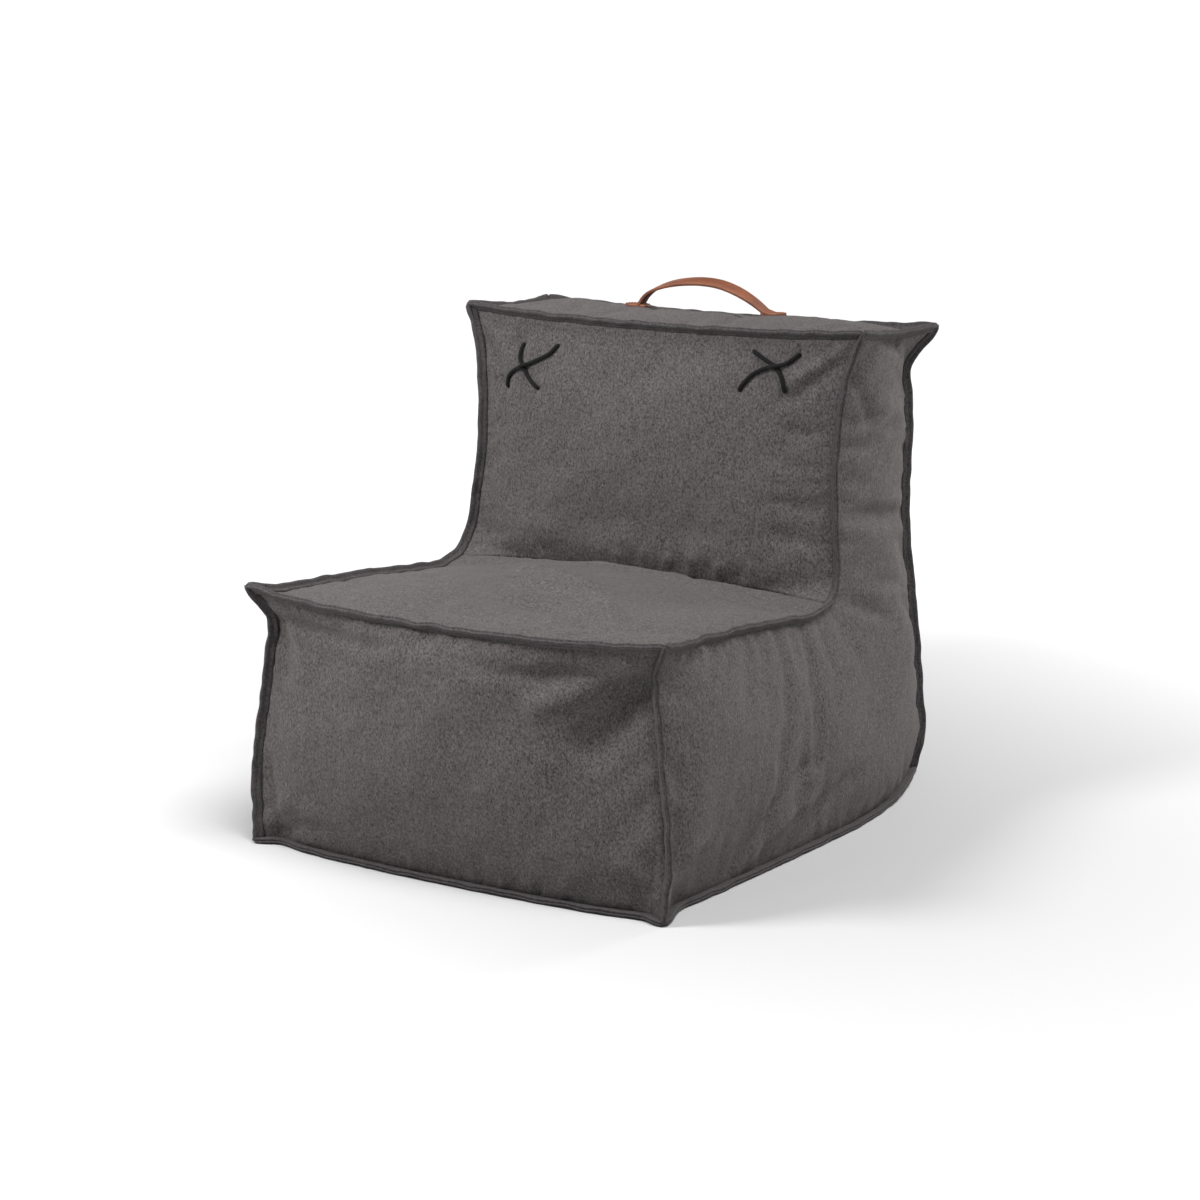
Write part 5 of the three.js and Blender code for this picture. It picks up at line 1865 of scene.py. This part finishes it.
@dataclass
class Studio:
    """The camera, the lights and the pale floor."""

    camera_place: tuple = (2.0547, -3.4237, 1.2797)
    camera_target: tuple = (0.041, -0.072, 0.3478)
    lens: float = 80.55
    backdrop: tuple = (1.0, 1.0, 1.0, 1.0)
    room_light: float = 0.08
    horizon_light: float = 0.95  # the pale band just above the floor
    horizon_band: tuple = (0.21, 0.38)  # sines of the heights where the band starts and stops fading
    # Painted shade: the floor is greyer near the chair than far from it, which also weakens the light it
    # throws back onto the chair.
    shaded_floor_greys: tuple = (0.42, 0.86)  # near the chair and far from it
    floor_rings: tuple = (0.45, 2.5)  # distances where the floor starts and stops getting lighter
    key_place: tuple = (-0.90, -1.32, 1.84)
    key_aim: tuple = (-0.05, -0.10, 0.40)
    key_size: float = 0.7
    key_power: float = 57.0
    rear_place: tuple = (1.25, 2.20, 1.45)
    rear_power: float = 26.0
    overhead_from: tuple = (0.55, -0.12, 1.2)
    overhead_power: float = 3.7
    overhead_spread: float = 30.0

    def build(self) -> None:
        """Makes the whole studio."""
        self._camera()
        self._floor()
        self._lights()

    def _camera(self) -> None:
        """Makes the camera and aims it."""
        data = bpy.data.cameras.new("studio_camera")
        data.lens = self.lens
        data.sensor_width = 36.0
        data.clip_end = 900.0
        camera = bpy.data.objects.new("studio_camera", data)
        camera.location = self.camera_place
        way = Vector(self.camera_target) - Vector(self.camera_place)
        camera.rotation_euler = way.to_track_quat("-Z", "Y").to_euler()
        bpy.context.scene.collection.objects.link(camera)
        bpy.context.scene.camera = camera

    def _floor(self) -> None:
        """Makes the floor, which runs off out of sight in every direction and is painted darker near the
        chair as shade around its foot.
        """
        reach, lift = 400.0, -0.0006
        corners = [(-reach, -reach, lift), (reach, -reach, lift), (reach, reach, lift), (-reach, reach, lift)]
        floor = make_mesh("studio_floor", np.array(corners), [(0, 1, 2, 3)], smooth=False)
        kit = NodeKit("pale_floor")
        distance = kit.add("ShaderNodeVectorMath", {0: kit.place}, operation="LENGTH").outputs["Value"]
        near, far = ((grey, grey, grey, 1) for grey in self.shaded_floor_greys)
        kit.surface(Base_Color=kit.blend(kit.ramp(distance, *self.floor_rings), near, far),
                    Roughness=0.85, Specular_IOR_Level=0.1)
        floor.data.materials.append(kit.material)
        floor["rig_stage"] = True

    def _lights(self) -> None:
        """Makes the soft lights and the pale surroundings."""
        world = bpy.data.worlds.new("pale_room")
        world.use_nodes = True
        world.node_tree.nodes["Background"].inputs["Color"].default_value = self.backdrop
        tree = world.node_tree
        height = tree.nodes.new("ShaderNodeSeparateXYZ")
        tree.links.new(tree.nodes.new("ShaderNodeTexCoord").outputs["Generated"], height.inputs[0])
        fade = tree.nodes.new("ShaderNodeMapRange")
        tree.links.new(height.outputs["Z"], fade.inputs["Value"])
        limits = (*self.horizon_band, self.horizon_light, self.room_light)
        for key, value in zip(("From Min", "From Max", "To Min", "To Max"), limits):
            fade.inputs[key].default_value = value
        tree.links.new(fade.outputs["Result"], tree.nodes["Background"].inputs["Strength"])
        bpy.context.scene.world = world
        self._sun("overhead", self.overhead_from, self.overhead_power, self.overhead_spread)
        self._softbox("key", self.key_place, self.key_aim, self.key_size, self.key_power)
        self._softbox("rear", self.rear_place, self.key_aim, self.key_size, self.rear_power)
        bpy.context.scene.view_settings.view_transform = "Standard"

    def _softbox(self, name: str, place: tuple, aim: tuple, size: float, power: float) -> None:
        """Makes one round soft lamp.

        Args:
            name: the light's name.
            place: where it stands.
            aim: the point that it faces.
            size: its width.
            power: its strength in watts.
        """
        data = bpy.data.lights.new(name, "AREA")
        data.shape = "DISK"
        data.size = size
        data.energy = power
        lamp = bpy.data.objects.new(name, data)
        lamp.location = place
        lamp.rotation_euler = (Vector(aim) - Vector(place)).to_track_quat("-Z", "Y").to_euler()
        bpy.context.scene.collection.objects.link(lamp)

    def _sun(self, name: str, source: tuple, power: float, spread: float) -> None:
        """Makes one broad soft light from a direction.

        Args:
            name: the light's name.
            source: the direction that it comes from.
            power: its strength.
            spread: how broad it is, as an angle in degrees.
        """
        data = bpy.data.lights.new(name, "SUN")
        data.energy = power
        data.angle = math.radians(spread)
        lamp = bpy.data.objects.new(name, data)
        lamp.location = Vector(source).normalized() * 4
        lamp.rotation_euler = (-Vector(source)).to_track_quat("-Z", "Y").to_euler()
        bpy.context.scene.collection.objects.link(lamp)


def write_sizes(stage: str, sizes: dict) -> None:
    """Args:
        stage: which box it is.
        sizes: the boxes so far, which gains this one.
    """
    low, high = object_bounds()
    sizes[stage] = [list(low), list(high)]


def main() -> None:
    """Builds the chair in its frame, from the seams outwards."""
    logging.basicConfig(level=logging.INFO, format="%(name)s: %(message)s")
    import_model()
    sizes: dict = {}
    write_sizes("cad", sizes)
    Studio().build()
    wardrobe = Wardrobe()
    plan = SeamPlan.from_frame()
    plan.draw()
    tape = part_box("zip_tape_upper")
    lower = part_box("zip_tape_lower")
    cover = Cover(plan, zip_height=(tape[0].z + lower[1].z) / 2, zip_slot=0.016)
    cover.cut()
    crosses = tuft_crosses()
    cover.panels["backrest_panel"].dents = tuple(dent for cross in crosses for dent in cross.dents())
    cover.puff()
    cover.dress(wardrobe)
    FlangeSet(plan).build(wardrobe)
    for cross in crosses:
        cross.build(cover.surface("backrest_panel"), wardrobe)
    Handle().build(cover.surface("top_panel"), wardrobe)
    Zip().build(wardrobe)
    Filling().build(cover, wardrobe)
    write_sizes("visual", sizes)


if __name__ == "__main__":
    main()
